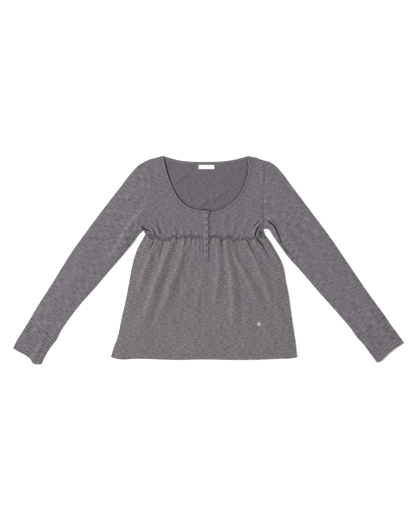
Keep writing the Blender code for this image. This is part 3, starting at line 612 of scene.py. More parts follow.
SLEEVE_FOLDS = (
    Fold(3.4, 6, (
        (-172, 88), (-188, 72), (-202.7, 57.7), (-224.8, 30.7), (-238, 5.8), (-265, -40.6), (-309.7, -93.4),
    ), fall=30, spread=1.9, fade_out=0.5),
    Fold(-1.2, 8, ((-192, 62), (-203, 44), (-209, 24), (-216, 2))),
    Fold(1.4, 5, ((-196, 42), (-199, 28), (-194, 14)), fall=9),
    Fold(1.6, 20, ((-330, -20), (-385, -110), (-432, -190)), fall=30),
    Fold(1.8, 7, (
        (-462, -270), (-474.4, -302.8), (-484, -325), (-494.5, -345.1), (-500, -358),
    ), fall=12, fade_out=0.1),
    Fold(-1.6, 3.4, ((-437, -297), (-452, -316), (-470, -337)), fade_in=0.2, dark=0.25),
    Fold(4, 15, ((176, 52), (194, 40), (206, 20), (216, -6)), fade_in=0.2),
    Fold(-8, 3.6, (
        (178.6, 47.5), (188.5, 42), (197.2, 36), (204.5, 27), (210.3, 14.5), (216, 0), (222, -16),
        (231, -33), (268, -82),
    ), fade_in=0.06, fade_out=0.9, dark=1.1),
    Fold(-1.8, 3.4, (
        (226, -22), (232, -33), (246, -48), (261, -61.9), (290, -110.2), (316, -136),
    ), fade_in=0.1, fade_out=0.7, dark=0.55),
    Fold(-1.6, 2.6, (
        (173, 130), (168.5, 84), (170, 62), (173.4, 49.5), (177, 42),
    ), fade_in=0.5, fade_out=0.15, dark=0.45),
    Fold(2.2, 12, ((186, 62), (212, 46), (230, 14), (260, -30), (310, -90)), fall=20),
    Fold(1.3, 20, ((430, -150), (470, -210), (500, -262)), fall=26),
)
BACK_FOLDS = (
    Fold(2.6, 9, ((-20, 84), (4, 100), (26, 116)), fall=16),
    Fold(2.2, 9, ((-92, 150), (-62, 172), (-30, 186)), fall=16),
    Fold(2.2, 9, ((20, 96), (52, 124), (84, 140)), fall=16),
    Fold(1.2, 12, ((40, 150), (70, 176), (100, 196)), fall=18),
)


class Ripple(NamedTuple):
    """A long low wave of cloth that isn't pressed."""

    wavelength: float
    angle: float
    height: float
    phase: float


RIPPLES = (
    Ripple(173, 0.4, 0.35, 0.3), Ripple(118, 2.2, 0.3, 1.9), Ripple(81, 1.1, 0.22, 4.4),
    Ripple(57, 2.9, 0.16, 2.7), Ripple(43, 0.1, 0.1, 5.2), Ripple(33, 1.7, 0.08, 0.9),
)


@dataclass(frozen=True)
class Gathers:
    """Waves that a gathered seam pushes up, each a little different from the next."""

    waves: int
    depth: float
    reach: float
    rise: float
    start: float = 3.5
    fading: float = 1.5

    def height(self, share: Array, from_seam: Array) -> Array:
        """Height of the gathers.

        Args:
            share: share of the seam's run.
            from_seam: distance from the seam.

        Returns:
            The height at each place.
        """
        phase = share * self.waves
        number = np.floor(phase)
        depth = self.depth * varied(number, even=0.8, swing=0.35, pace=2.3, start=0.7)
        reach = self.reach * varied(number, even=0.62, swing=0.38, pace=1.7, start=2.1)
        crest = 0.5 - 0.5 * np.cos(2 * np.pi * phase)
        left = np.clip(1 - from_seam / reach, 0, None) ** self.fading
        return depth * crest * smooth((from_seam - self.start) / self.rise) * left


@dataclass(frozen=True)
class FineGathers:
    """The small close folds that the gathering thread leaves between the larger ones."""

    spacing: float
    depth: float
    reach: float
    fan: float
    fading: float = 1.3
    sways: tuple[tuple[float, float, float], ...] = ((0.33, 11.0, 0.0), (0.21, 5.3, 1.0))

    def height(self, x: Array, apart: Array) -> Array:
        """Height of the small folds.

        Args:
            x: x of each place.
            apart: its distance from the seam.

        Returns:
            The height at each place.
        """
        at_seam = x / (1 + self.fan * apart)
        phase = at_seam / self.spacing
        for swing, wave, start in self.sways:
            phase = phase + swing * np.sin(at_seam / wave + start)
        number = np.floor(phase)
        depth = self.depth * varied(number, even=0.7, swing=0.45, pace=2.7, start=0.4)
        reach = self.reach * varied(number, even=0.7, swing=0.4, pace=1.9, start=1.3)
        crest = 0.5 - 0.5 * np.cos(2 * np.pi * phase)
        return depth * crest * np.clip(1 - apart / reach, 0, None) ** self.fading


@dataclass(frozen=True)
class Relief:
    """Heights of the layers of cloth over the surface."""

    cut: Cut
    loft: float = 1.4
    least_lift: float = 0.2
    softening: float = 0.5
    most_softened: float = 30.0
    fold_reach: float = 4.0
    loft_reach: float = 34.0
    neck_lift: float = 2.2
    neck_reach: float = 30.0
    gathered_lift: float = 3.0
    gathered_reach: float = 50.0
    bodice_lift: float = 2.6
    bodice_reach: float = 16.0
    scallop_height: float = 1.5
    scallop_reach: float = 12.0
    scallop_swing: float = 4.0
    groove_apart: float = 3.1
    groove_half_width: float = 1.9
    seam_low: float = 0.25
    armhole_dip_left: float = 0.1
    armhole_dip_right: float = 0.4
    armhole_dip_reach: float = 2.6
    allowance_height: float = 0.4
    allowance_apart: float = 5.0
    allowance_half_width: float = 3.0
    skirt_top: float = -5.0
    seam_shade_above: float = 0.8
    seam_shade_below: float = 0.4
    seam_shade_apart: float = 2.9
    seam_shade_reach: float = 1.25
    seam_shade_inset: float = 14.0
    placket_lift: float = 0.8
    placket_lift_reach: float = 14.0
    placket_lift_end: float = -80.0
    placket_lift_run: float = 10.0
    neck_shade: float = 0.8
    neck_shade_reach: float = 2.4
    neck_shade_narrower: float = 0.35
    neck_shade_narrows: tuple[float, float] = (20.0, 80.0)
    placket_shade: float = 0.5
    placket_shade_x: float = 0.5
    placket_shade_reach: float = 9.0
    neck_bottom_spare: float = 2.0
    neck_dome: float = 1.6
    neck_dome_run: float = 7.0
    neck_dome_top: float = 8.0
    neck_dome_fall: float = 14.0
    fine_skirt: FineGathers = FineGathers(8.6, 1.2, 30.0, 0.0034)
    fine_bodice: FineGathers = FineGathers(9.4, 0.9, 17.0, 0.0)
    back_skirt: Gathers = Gathers(20, 2.4, 42.0, 9.0)
    back_bodice: Gathers = Gathers(20, 1.2, 24.0, 9.0)
    folds: tuple[Fold, ...] = SKIRT_FOLDS + SKIRT_CREASES + BODICE_FOLDS + SLEEVE_FOLDS

    def from_edge(self, x: Array, y: Array) -> Array:
        """Distance from the folded edges of the outline, as far as it matters.

        Args:
            x: x of each place, in one row.
            y: y of each place.

        Returns:
            The distance at each place.
        """
        apart = np.full(len(x), self.loft_reach)
        for edge in self.cut.folded_edges:
            inside, _, _, distance = edge.near(x, y, self.loft_reach)
            apart[inside] = np.minimum(apart[inside], distance)
        return apart

    def rounding(self, x: Array, y: Array) -> Array:
        """0 on a folded edge of the outline, 1 once the front layer lies clear of it."""
        apart = np.minimum(self.from_edge(x, y), self.fold_reach)
        return np.sqrt(1 - (1 - apart / self.fold_reach) ** 2)

    def shade(self, x: Array, y: Array) -> Array:
        """How deep in shade the front layer lies: in its creases and beside the gathered seam.

        Args:
            x: x of each place.
            y: y of each place.

        Returns:
            The shade from 0 to 1 at each place.
        """
        lattice_shape = x.shape
        x, y = x.ravel(), y.ravel()
        shade = np.zeros(len(x))
        for fold in self.folds:
            if fold.dark:
                fold.paint_crease_shade(shade, x, y)
        down = self.cut.seam_wave.y_at(x) - y
        left = self.cut.waist.knots[0][0] + self.seam_shade_inset
        right = self.cut.waist.knots[-1][0] - self.seam_shade_inset
        for strength, apart, phase in (
            (self.seam_shade_above, -self.seam_shade_apart, 0.0),
            (self.seam_shade_below, self.seam_shade_apart, 2.0),
        ):
            uneven = 0.62 + 0.38 * drifting(x, wave=2.6, swing=2.4, slow_wave=7.3, phase=phase)
            line = bell(down - apart, self.seam_shade_reach)
            shade += strength * uneven * line * (x > left) * (x < right)
        return np.clip(shade, 0, 1).reshape(lattice_shape)

    def inside_neck(self, x: Array, y: Array) -> tuple[Array, Array]:
        """Find the places that show in the neckline.

        Args:
            x: x of each place, in one row.
            y: y of each place.

        Returns:
            Whether each one shows, and how far it is from the neckline's front edge.
        """
        left, right = self.cut.neck(Side.LEFT), self.cut.neck(Side.RIGHT)
        apart = np.full(len(x), self.neck_dome_run)
        for line in (left, right):
            inside, _, _, distance = line.near(x, y, self.neck_dome_run)
            apart[inside] = np.minimum(apart[inside], distance)
        shown = (x > left.x_at(y)) & (x < right.x_at(y))
        shown &= y > left.knots[0][1] - self.neck_bottom_spare
        return shown, apart

    def shade_in_neck(self, x: Array, y: Array) -> Array:
        """How deep in shade the back layer lies along the front's neck edge.

        Args:
            x: x of each place.
            y: y of each place.

        Returns:
            The shade from 0 to 1 at each place.
        """
        lattice_shape = x.shape
        x, y = x.ravel(), y.ravel()
        _, apart = self.inside_neck(x, y)
        start, run = self.neck_shade_narrows
        reach = self.neck_shade_reach * (1.0 - self.neck_shade_narrower * smooth((x - start) / run))
        at_placket = self.placket_shade * bell(x - self.placket_shade_x, self.placket_shade_reach)
        shade = (self.neck_shade + at_placket) * bell(apart, reach * (1.0 + at_placket))
        return np.clip(shade, 0, 1).reshape(lattice_shape)

    def back(self, x: Array, y: Array) -> Array:
        """Height of the underside of the back layer.

        Args:
            x: x of each place.
            y: y of each place.

        Returns:
            The height at each place.
        """
        lattice_shape = x.shape
        x, y = x.ravel(), y.ravel()
        left, right = self.cut.waist.knots[0][0], self.cut.waist.knots[-1][0]
        share = (x - left) / (right - left)
        down = self.cut.waist.y_at(x) - y
        skirt = self.back_skirt.height(share, np.abs(down))
        bodice = self.back_bodice.height(share, np.abs(down))
        height = np.where(down > 0, skirt, bodice)
        height = np.where((share > 0) & (share < 1), height, 0.0) * self.rounding(x, y)
        shown, apart = self.inside_neck(x, y)
        low = smooth((self.cut.neck_back.y_at(x) - self.neck_dome_top - y) / self.neck_dome_fall)
        dome = self.neck_dome * smooth(apart / self.neck_dome_run) * low
        for fold in BACK_FOLDS:
            fold.add_to(dome, x, y)
        return (height + np.where(shown, dome, 0.0)).reshape(lattice_shape)

    def seams(self, x: Array, y: Array) -> Array:
        """Pull-in beside the armhole seams, with the ridge of the allowance on the sleeve's side.

        Args:
            x: x of each place, in one row.
            y: y of each place.

        Returns:
            The change of height at each place.
        """
        lift = np.zeros(len(x))
        for side in Side:
            line = self.cut.armhole(side)
            most_dip = self.armhole_dip_left if side is Side.LEFT else self.armhole_dip_right
            inside, signed, _, apart = line.near(x, y, 4 * self.allowance_apart)
            outward = -signed * side.sign
            dip = most_dip * bell(apart, self.armhole_dip_reach)
            ridge = self.allowance_height * bell(outward - self.allowance_apart, self.allowance_half_width)
            lift[inside] += ridge - dip
        return lift

    def lift(self, x: Array, y: Array) -> Array:
        """How far the front layer stands off the back one, before it is rounded to the edges.

        Args:
            x: x of each place, in one row.
            y: y of each place.

        Returns:
            The distance at each place.
        """
        lift = self.loft * (1 - (1 - self.from_edge(x, y) / self.loft_reach) ** 2)
        for ripple in RIPPLES:
            along = x * math.cos(ripple.angle) + y * math.sin(ripple.angle)
            lift += ripple.height * np.sin(2 * np.pi * along / ripple.wavelength + ripple.phase)
        for side in Side:
            inside, _, _, apart = self.cut.neck(side).near(x, y, 3 * self.neck_reach)
            lift[inside] += self.neck_lift / 2 * np.exp(-apart / self.neck_reach)
        body = (x > self.cut.waist.knots[0][0]) & (x < self.cut.waist.knots[-1][0])
        body |= y < self.skirt_top
        offset = self.cut.seam_wave.y_at(x) - self.cut.waist.y_at(x)
        down = self.cut.seam_wave.y_at(x) - y
        apart = np.abs(down)
        gathered = np.where(
            down > 0,
            self.gathered_lift * np.exp(-apart / self.gathered_reach) + self.fine_skirt.height(x, apart),
            self.bodice_lift * np.exp(-apart / self.bodice_reach) + self.fine_bodice.height(x, apart),
        )
        scallop = self.scallop_height * offset / self.scallop_swing * np.exp(-apart / self.scallop_reach)
        beside = (x - PLACKET_RIGHT) / self.placket_lift_reach
        raised = self.placket_lift * (1.0 + smooth((y - self.skirt_top) / self.placket_lift_run))
        gathered += raised * np.exp(-np.abs(beside)) * (beside > 0) * (y > self.placket_lift_end)
        lift += np.where(body, gathered + scallop, 0.0)
        for fold in self.folds:
            fold.add_to(lift, x, y)
        open_share = smooth((apart - self.groove_apart) / self.groove_half_width)
        lift = np.where(body, self.seam_low + (lift - self.seam_low) * open_share, lift)
        return lift + self.seams(x, y)

    def front(self, x: Array, y: Array) -> Array:
        """Height of the underside of the front layer, the top layer of a sleeve too.

        Args:
            x: x of each place.
            y: y of each place.

        Returns:
            The height at each place.
        """
        lattice_shape = x.shape
        x, y = x.ravel(), y.ravel()
        spare = self.lift(x, y) - self.least_lift
        limit = self.most_softened
        softened = np.log1p(np.exp(np.clip(spare / self.softening, -limit, limit))) * self.softening
        height = BACK_TOP + self.back(x, y) + (self.least_lift + softened) * self.rounding(x, y)
        return height.reshape(lattice_shape)


class Laid(NamedTuple):
    """Where the lattice of a sheet lies, with one entry for each of its columns and rows."""

    x: Array
    y: Array
    under: Array
    wall: Array | float
    shade: Array | float = 0.0


def lattice(columns: int, rows: int) -> tuple[Array, Array]:
    """The column and row numbers of a sheet's lattice."""
    column, row = np.meshgrid(np.arange(columns + 1), np.arange(rows + 1), indexing="ij")
    return column, row


def add_piece(
    name: str, shape: bmesh.types.BMesh, finish: bpy.types.Material, sharp: float = 50.0
) -> bpy.types.Object:
    """Put a finished mesh into the scene as a piece that rides on the garment's one body.

    Args:
        name: the piece's name.
        shape: its mesh, which is used up.
        finish: its material.
        sharp: the angle in degrees from which an edge is shaded sharp.

    Returns:
        The new object.
    """
    mesh = bpy.data.meshes.new(name)
    shape.to_mesh(mesh)
    shape.free()
    mesh.shade_smooth()
    mesh.set_sharp_from_angle(angle=math.radians(sharp))
    mesh.materials.append(finish)
    piece = bpy.data.objects.new(name, mesh)
    bpy.context.scene.collection.objects.link(piece)
    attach(piece, "root")
    return piece


def place_points(shape: bmesh.types.BMesh, places: Array, cloth: Array, shade: Array) -> None:
    """Move a mesh's points to their places, lay out its cloth coordinates and note its shade.

    Args:
        shape: the mesh.
        places: a place in the frame for each point.
        cloth: for each point, metres along the courses and along the wales.
        shade: how deep in a crease each point lies, from 0 to 1.
    """
    layer = shape.loops.layers.uv.new("cloth")
    # painted shade: this crease attribute darkens the cloth's colour in its material
    crease = shape.verts.layers.float.new("crease")
    shape.verts.index_update()
    for vert, place, depth in zip(shape.verts, places.tolist(), shade.tolist()):
        vert.co = place
        vert[crease] = depth
    laid = cloth.tolist()
    for face in shape.faces:
        for loop in face.loops:
            loop[layer].uv = laid[loop.vert.index]


def soften_rim(shape: bmesh.types.BMesh, rim: list[bmesh.types.BMEdge], width: float) -> None:
    """Round the edges of a sheet's rim.

    Args:
        shape: the mesh of the sheet.
        rim: the edges that are rounded.
        width: how wide the rounding is, in millimetres.
    """
    bmesh.ops.bevel(
        shape, geom=rim, offset=width * MM, segments=2, profile=0.5, affect="EDGES", material=-1,
        clamp_overlap=True,
    )


def cloth_sheet(
    name: str,
    laid: Laid,
    finish: bpy.types.Material,
    left_out: Callable[[Array, Array], Array] | None = None,
    rim: float = 0.4,
) -> bpy.types.Object:
    """Make a sheet of cloth with a wall.

    Args:
        name: the piece's name.
        laid: where its lattice lies.
        finish: its material.
        left_out: tells, from the cells' columns and rows, which of them are cut away.
        rim: how wide its upper edges are rounded.

    Returns:
        The new object.
    """
    columns, rows = laid.x.shape[0] - 1, laid.x.shape[1] - 1
    shape = bmesh.new()
    bmesh.ops.create_grid(shape, x_segments=columns, y_segments=rows, size=0.5)
    if left_out:
        centres = np.array([face.calc_center_median()[:2] for face in shape.faces])
        cells = np.floor((centres + 0.5) * (columns, rows))
        dropped = left_out(cells[:, 0], cells[:, 1])
        cut_away = [face for face, gone in zip(shape.faces, dropped) if gone]
        bmesh.ops.delete(shape, geom=cut_away, context="FACES")
    risen = bmesh.ops.extrude_face_region(shape, geom=shape.faces[:], use_keep_orig=True)
    lifted = [item for item in risen["geom"] if isinstance(item, bmesh.types.BMVert)]
    bmesh.ops.translate(shape, verts=lifted, vec=(0, 0, 1))
    cells = np.array([vert.co[:] for vert in shape.verts])
    column = np.rint((cells[:, 0] + 0.5) * columns).astype(int)
    row = np.rint((cells[:, 1] + 0.5) * rows).astype(int)
    upper = cells[:, 2] > 0.5
    x, y = laid.x[column, row], laid.y[column, row]
    wall = np.broadcast_to(laid.wall, laid.x.shape)[column, row]
    height = laid.under[column, row] + np.where(upper, wall, 0.0)
    shade = np.broadcast_to(laid.shade, laid.x.shape)[column, row]
    place_points(shape, to_frame(x, y, height), np.stack([x, y], axis=-1) * MM, shade)
    rim_edges = [
        edge
        for edge in shape.edges
        if all(upper[vert.index] for vert in edge.verts)
        and any(not upper[vert.index] for face in edge.link_faces for vert in face.verts)
    ]
    soften_rim(shape, rim_edges, rim)
    bmesh.ops.recalc_face_normals(shape, faces=shape.faces)
    return add_piece(name, shape, finish)


@dataclass(frozen=True)
class Tube:
    """A flattened tube of cloth with open ends, folded along its two long edges."""

    upper: Line
    across_steps: int
    section_steps: int
    fold_middle: float = 1.35
    edge_shares: tuple[float, ...] = (0.0, 0.0012, 0.004, 0.009, 0.016, 0.027, 0.042, 0.06)
    inner_turn: float = 0.8
    axis_shares: tuple[float, float] = (0.1, 0.9)

    @cached_property
    def across(self) -> Array:
        """Space the mesh across the tube, closer together at the folds.

        Returns:
            Shares of the tube's width.
        """
        edge = np.array(self.edge_shares)
        middle = np.linspace(edge[-1], 1 - edge[-1], self.across_steps - 2 * len(edge) + 3)[1:-1]
        return np.concatenate([edge, middle, 1 - edge[::-1]])

    def build(
        self,
        name: str,
        plan: Callable[[Array, Array], Array],
        relief: Relief,
        finish: bpy.types.Material,
        rise: Callable[[Array], Array] | None = None,
    ) -> bpy.types.Object:
        """Make the tube.

        Args:
            name: the piece's name.
            plan: gives places in plan from shares along and across.
            relief: heights of the garment's layers.
            finish: its material.
            rise: extra height of the upper layer, from the share along.

        Returns:
            The new object.
        """
        steps = len(self.across) - 1
        along = np.linspace(0, 1, self.section_steps + 1)
        section, share = np.meshgrid(along, self.across, indexing="ij")
        outer = plan(section, share)
        width = np.linalg.norm(plan(section, section * 0 + 1) - plan(section, section * 0), axis=-1)
        inset = WALL / width
        inner = plan(section, inset + share * (1 - 2 * inset))
        from_fold = np.minimum(share, 1 - share) * width
        extra = rise(section) if rise else 0.0

        def turned(reach: float) -> Array:
            """How far the wall has turned from the fold to the flat layer."""
            return np.sqrt(1 - (1 - np.clip(from_fold / reach, 0, 1)) ** 2)

        top_out = relief.front(outer[..., 0], outer[..., 1]) + WALL + extra
        top_in = relief.front(inner[..., 0], inner[..., 1])
        middle = self.fold_middle
        heights = {
            (True, True): middle + (top_out - middle) * turned(middle),
            (True, False): middle * (1 - turned(middle)),
            (False, True): middle + (top_in - middle) * turned(self.inner_turn),
            (False, False): middle + (WALL - middle) * turned(self.inner_turn),
        }
        around, last = 2 * steps, self.section_steps
        turns = 2 * last + 2
        shape = bmesh.new()
        bmesh.ops.create_grid(shape, x_segments=around, y_segments=turns, size=0.5)
        cells = np.array([vert.co[:] for vert in shape.verts])
        step = np.rint((cells[:, 0] + 0.5) * around).astype(int)
        turn = np.rint((cells[:, 1] + 0.5) * turns).astype(int) % turns
        over = step % around < steps
        nth = np.where(step % around <= steps, step % around, around - step % around)
        outside = turn <= last
        nth_section = np.where(outside, turn, turns - 1 - turn)
        x = np.where(outside, outer[nth_section, nth, 0], inner[nth_section, nth, 0])
        y = np.where(outside, outer[nth_section, nth, 1], inner[nth_section, nth, 1])
        z = np.zeros(len(x))
        for (is_outside, is_over), height in heights.items():
            chosen = (outside == is_outside) & (over == is_over)
            z[chosen] = height[nth_section[chosen], nth[chosen]]
        near, far = self.axis_shares
        axis = self.upper.at(far) - self.upper.at(near)
        axis /= np.linalg.norm(axis)
        side = x * axis[1] - y * axis[0]
        fold = (outer @ np.array([axis[1], -axis[0]]))[nth_section, -1]
        unrolled = np.where(step <= steps, side, 2 * fold - side)
        cloth = np.stack([unrolled, x * axis[0] + y * axis[1]], axis=-1) * MM
        shade = np.where(over & outside, relief.shade(x, y), 0.0)
        place_points(shape, to_frame(x, y, z), cloth, shade)
        bmesh.ops.remove_doubles(shape, verts=shape.verts, dist=MERGE_WITHIN)
        bmesh.ops.recalc_face_normals(shape, faces=shape.faces)
        return add_piece(name, shape, finish)


@dataclass(frozen=True)
class Finishes:
    """The materials of the garment's pieces."""

    skirt: bpy.types.Material
    bodice: bpy.types.Material
    sleeve: bpy.types.Material
    cuff: bpy.types.Material
    inside: bpy.types.Material
    binding: bpy.types.Material
    shell: bpy.types.Material
    thread: bpy.types.Material
    dark_thread_and_painted_shade: bpy.types.Material
    tape: bpy.types.Material
    petal: bpy.types.Material
    pollen: bpy.types.Material


class NodeTree:
    """Short ways to add nodes to one tree and to link them."""

    def __init__(self, tree: bpy.types.NodeTree) -> None:
        """Keep the tree that the nodes go into."""
        self.tree = tree

    def add(self, kind: str, **settings: object) -> bpy.types.Node:
        """Add a node.

        Args:
            kind: its type.
            settings: its properties.

        Returns:
            The new node.
        """
        node = self.tree.nodes.new(kind)
        for name, value in settings.items():
            setattr(node, name, value)
        return node

    def link(self, source: bpy.types.NodeSocket, target: bpy.types.NodeSocket) -> None:
        """Join an output to an input."""
        self.tree.links.new(source, target)

    def maths(self, operation: str, first: object, second: object = 0.0) -> bpy.types.NodeSocket:
        """Add a sum or another operation on two values.

        Args:
            operation: its name in Blender.
            first: a socket or a number.
            second: a socket or a number.

        Returns:
            The result's socket.
        """
        node = self.add("ShaderNodeMath", operation=operation)
        for socket, value in zip(node.inputs, (first, second)):
            if isinstance(value, bpy.types.NodeSocket):
                self.link(value, socket)
            else:
                socket.default_value = value
        return node.outputs[0]

    def scaled(self, vector: bpy.types.NodeSocket, scale: Colour) -> bpy.types.NodeSocket:
        """Stretch coordinates.

        Args:
            vector: the coordinates' socket.
            scale: a factor for each axis.

        Returns:
            The stretched coordinates' socket.
        """
        node = self.add("ShaderNodeVectorMath", operation="MULTIPLY")
        self.link(vector, node.inputs[0])
        node.inputs[1].default_value = scale
        return node.outputs[0]

    def noise(self, vector: bpy.types.NodeSocket, scale: float, detail: float = 2.0) -> bpy.types.NodeSocket:
        """Add a noise texture.

        Args:
            vector: the coordinates' socket.
            scale: how fine it is.
            detail: how many finer layers it has.

        Returns:
            Its value's socket.
        """
        node = self.add("ShaderNodeTexNoise")
        self.link(vector, node.inputs["Vector"])
        node.inputs["Scale"].default_value = scale
        node.inputs["Detail"].default_value = detail
        return node.outputs["Fac"]

    def stepped(self, value: bpy.types.NodeSocket, low: float, high: float) -> bpy.types.NodeSocket:
        """Stretch a range so that it runs smoothly from 0 to 1.

        Args:
            value: a value's socket.
            low: where it is 0.
            high: where it is 1.

        Returns:
            The stretched value's socket.
        """
        node = self.add("ShaderNodeMapRange", interpolation_type="SMOOTHSTEP")
        self.link(value, node.inputs["Value"])
        node.inputs["From Min"].default_value = low
        node.inputs["From Max"].default_value = high
        return node.outputs["Result"]

    def blended(
        self, mask: bpy.types.NodeSocket, first: Colour | bpy.types.NodeSocket, second: Colour,
    ) -> bpy.types.NodeSocket:
        """Mix two colours by a mask.

        Args:
            mask: 0 for the first colour, 1 for the second.
            first: a colour or a socket.
            second: a colour.

        Returns:
            The mixed colour's socket.
        """
        node = self.add("ShaderNodeMix", data_type="RGBA")
        self.link(mask, node.inputs["Factor"])
        if isinstance(first, bpy.types.NodeSocket):
            self.link(first, colour_input(node, "A"))
        else:
            colour_input(node, "A").default_value = (*first, 1)
        colour_input(node, "B").default_value = (*second, 1)
        return next(socket for socket in node.outputs if socket.type == "RGBA")


def colour_input(node: bpy.types.Node, name: str) -> bpy.types.NodeSocket:
    """The colour input of a Mix node, which has inputs of other types by the same name."""
    return next(socket for socket in node.inputs if socket.name == name and socket.type == "RGBA")


def new_group(name: str, inputs: dict[str, float], outputs: dict[str, str]) -> tuple[NodeTree, dict]:
    """Start a shader node group that takes a vector and some numbers.

    Args:
        name: the group's name.
        inputs: its numbers and their usual values.
        outputs: its outputs and their socket types.

    Returns:
        The group's tree, and its input sockets by name with the output node under "out".
    """
    tree = bpy.data.node_groups.new(name, "ShaderNodeTree")
    tree.interface.new_socket("Vector", in_out="INPUT", socket_type="NodeSocketVector")
    for label, value in inputs.items():
        socket = tree.interface.new_socket(label, in_out="INPUT", socket_type="NodeSocketFloat")
        socket.default_value = value
    for label, kind in outputs.items():
        tree.interface.new_socket(label, in_out="OUTPUT", socket_type=kind)
    nodes = NodeTree(tree)
    start = nodes.add("NodeGroupInput")
    ends = {socket.name: socket for socket in start.outputs if socket.name}
    ends["out"] = nodes.add("NodeGroupOutput")
    return nodes, ends


def heather_group() -> bpy.types.NodeTree:
    """Make the group for short streaks of lighter and tinted yarn along the courses of a knit.

    Returns:
        The group.
    """
    nodes, ends = new_group(
        "Heather",
        {"Streak Length": 0.0105, "Streak Width": 0.0019},
        {
            "Light": "NodeSocketFloat", "Tint": "NodeSocketFloat", "Cloud": "NodeSocketFloat",
            "Cast": "NodeSocketFloat",
        },
    )
    split = nodes.add("ShaderNodeSeparateXYZ")
    nodes.link(ends["Vector"], split.inputs[0])
    along = nodes.maths("DIVIDE", split.outputs["X"], ends["Streak Length"])
    wide = nodes.maths("DIVIDE", split.outputs["Y"], ends["Streak Width"])
    joined = nodes.add("ShaderNodeCombineXYZ")
    nodes.link(along, joined.inputs["X"])
    nodes.link(wide, joined.inputs["Y"])
    streaks = nodes.noise(joined.outputs[0], scale=1.0, detail=3.0)
    moved = nodes.add("ShaderNodeVectorMath", operation="ADD")
    nodes.link(joined.outputs[0], moved.inputs[0])
    moved.inputs[1].default_value = (31.0, 17.0, 5.0)
    nodes.link(nodes.stepped(streaks, low=0.41, high=0.59), ends["out"].inputs["Light"])
    tint = nodes.noise(moved.outputs[0], scale=0.8)
    nodes.link(nodes.stepped(tint, low=0.32, high=0.68), ends["out"].inputs["Tint"])
    cloud = nodes.noise(nodes.scaled(ends["Vector"], (1.0, 1.6, 1.0)), scale=34.0)
    nodes.link(nodes.stepped(cloud, low=0.3, high=0.7), ends["out"].inputs["Cloud"])
    cast = nodes.noise(nodes.scaled(ends["Vector"], (1.0, 0.7, 1.0)), scale=9.0, detail=1.0)
    nodes.link(nodes.stepped(cast, low=0.36, high=0.64), ends["out"].inputs["Cast"])
    return nodes.tree


def knit_group() -> bpy.types.NodeTree:
    """Make the group for a fine plain knit: wales of small V-shaped stitches under a soft fuzz.

    Returns:
        The group.
    """
    nodes, ends = new_group(
        "Knit", {"Stitch": 0.0008, "Fuzz": 0.35}, {"Height": "NodeSocketFloat"},
    )
    split = nodes.add("ShaderNodeSeparateXYZ")
    nodes.link(ends["Vector"], split.inputs[0])
    wale = nodes.maths("DIVIDE", split.outputs["X"], ends["Stitch"])
    course = nodes.maths("DIVIDE", split.outputs["Y"], ends["Stitch"])
    arms = nodes.maths("PINGPONG", wale, 0.5)
    slanted = nodes.maths("ADD", nodes.maths("MULTIPLY", course, 1.25), arms)
    rows = nodes.maths("SINE", nodes.maths("MULTIPLY", slanted, 2 * math.pi))
    between = nodes.maths("SINE", nodes.maths("MULTIPLY", arms, 2 * math.pi))
    loops = nodes.maths("MULTIPLY", nodes.maths("ADD", nodes.maths("MULTIPLY", rows, 0.5), 0.5), between)
    fuzz = nodes.noise(ends["Vector"], scale=900.0, detail=3.0)
    height = nodes.maths("ADD", loops, nodes.maths("MULTIPLY", fuzz, ends["Fuzz"]))
    nodes.link(height, ends["out"].inputs["Height"])
    return nodes.tree


@dataclass(frozen=True)
class HeatherJersey:
    """Soft heathered jersey: a shade of yarn with lighter and tinted streaks in it."""

    name: str
    dark: Colour
    light: Colour
    tint: Colour
    roughness: float = 0.92
    tint_share: float = 0.45
    cloud_share: float = 0.08
    cast: Colour = (0.118, 0.117, 0.146)
    cast_share: float = 0.14
    streak: tuple[float, float] = (0.0105, 0.0019)
    stitch: float = 0.0008
    bump: float = 0.25
    sheen: float = 0.12
    # painted shade: the near-black colour that the crease attribute darkens the cloth towards, in creases,
    # along the gathered seam and inside the neck
    deep: Colour = (0.012, 0.010, 0.012)

    def make(self, heather: bpy.types.NodeTree, knit: bpy.types.NodeTree) -> bpy.types.Material:
        """Make the material.

        Args:
            heather: the group that lays the streaks.
            knit: the group that gives the stitches their height.

        Returns:
            The material.
        """
        material = bpy.data.materials.new(self.name)
        material.use_nodes = True
        nodes = NodeTree(material.node_tree)
        shader = material.node_tree.nodes["Principled BSDF"]
        cloth = nodes.add("ShaderNodeUVMap", uv_map="cloth").outputs[0]
        streaks = nodes.add("ShaderNodeGroup", node_tree=heather)
        nodes.link(cloth, streaks.inputs["Vector"])
        for name, size in zip(("Streak Length", "Streak Width"), self.streak):
            streaks.inputs[name].default_value = size
        base = nodes.blended(streaks.outputs["Light"], self.dark, self.light)
        tinted_share = nodes.maths("MULTIPLY", streaks.outputs["Tint"], self.tint_share)
        tinted = nodes.blended(tinted_share, base, self.tint)
        clouded = nodes.maths("MULTIPLY", streaks.outputs["Cloud"], self.cloud_share)
        cloudy = nodes.blended(clouded, tinted, self.dark)
        cast = nodes.maths("MULTIPLY", streaks.outputs["Cast"], self.cast_share)
        colour = nodes.blended(cast, cloudy, self.cast)
        # painted shade: the crease attribute blends the colour towards the deep colour
        crease = nodes.add("ShaderNodeAttribute", attribute_name="crease").outputs["Fac"]
        shaded = nodes.blended(nodes.stepped(crease, low=0.0, high=1.0), colour, self.deep)
        nodes.link(shaded, shader.inputs["Base Color"])
        stitches = nodes.add("ShaderNodeGroup", node_tree=knit)
        nodes.link(cloth, stitches.inputs["Vector"])
        stitches.inputs["Stitch"].default_value = self.stitch
        bump = nodes.add("ShaderNodeBump")
        bump.inputs["Strength"].default_value = self.bump
        bump.inputs["Distance"].default_value = 0.0002
        nodes.link(stitches.outputs["Height"], bump.inputs["Height"])
        nodes.link(bump.outputs[0], shader.inputs["Normal"])
        shader.inputs["Roughness"].default_value = self.roughness
        shader.inputs["Specular IOR Level"].default_value = 0.1
        shader.inputs["Sheen Weight"].default_value = self.sheen
        shader.inputs["Sheen Roughness"].default_value = 0.5
        return material


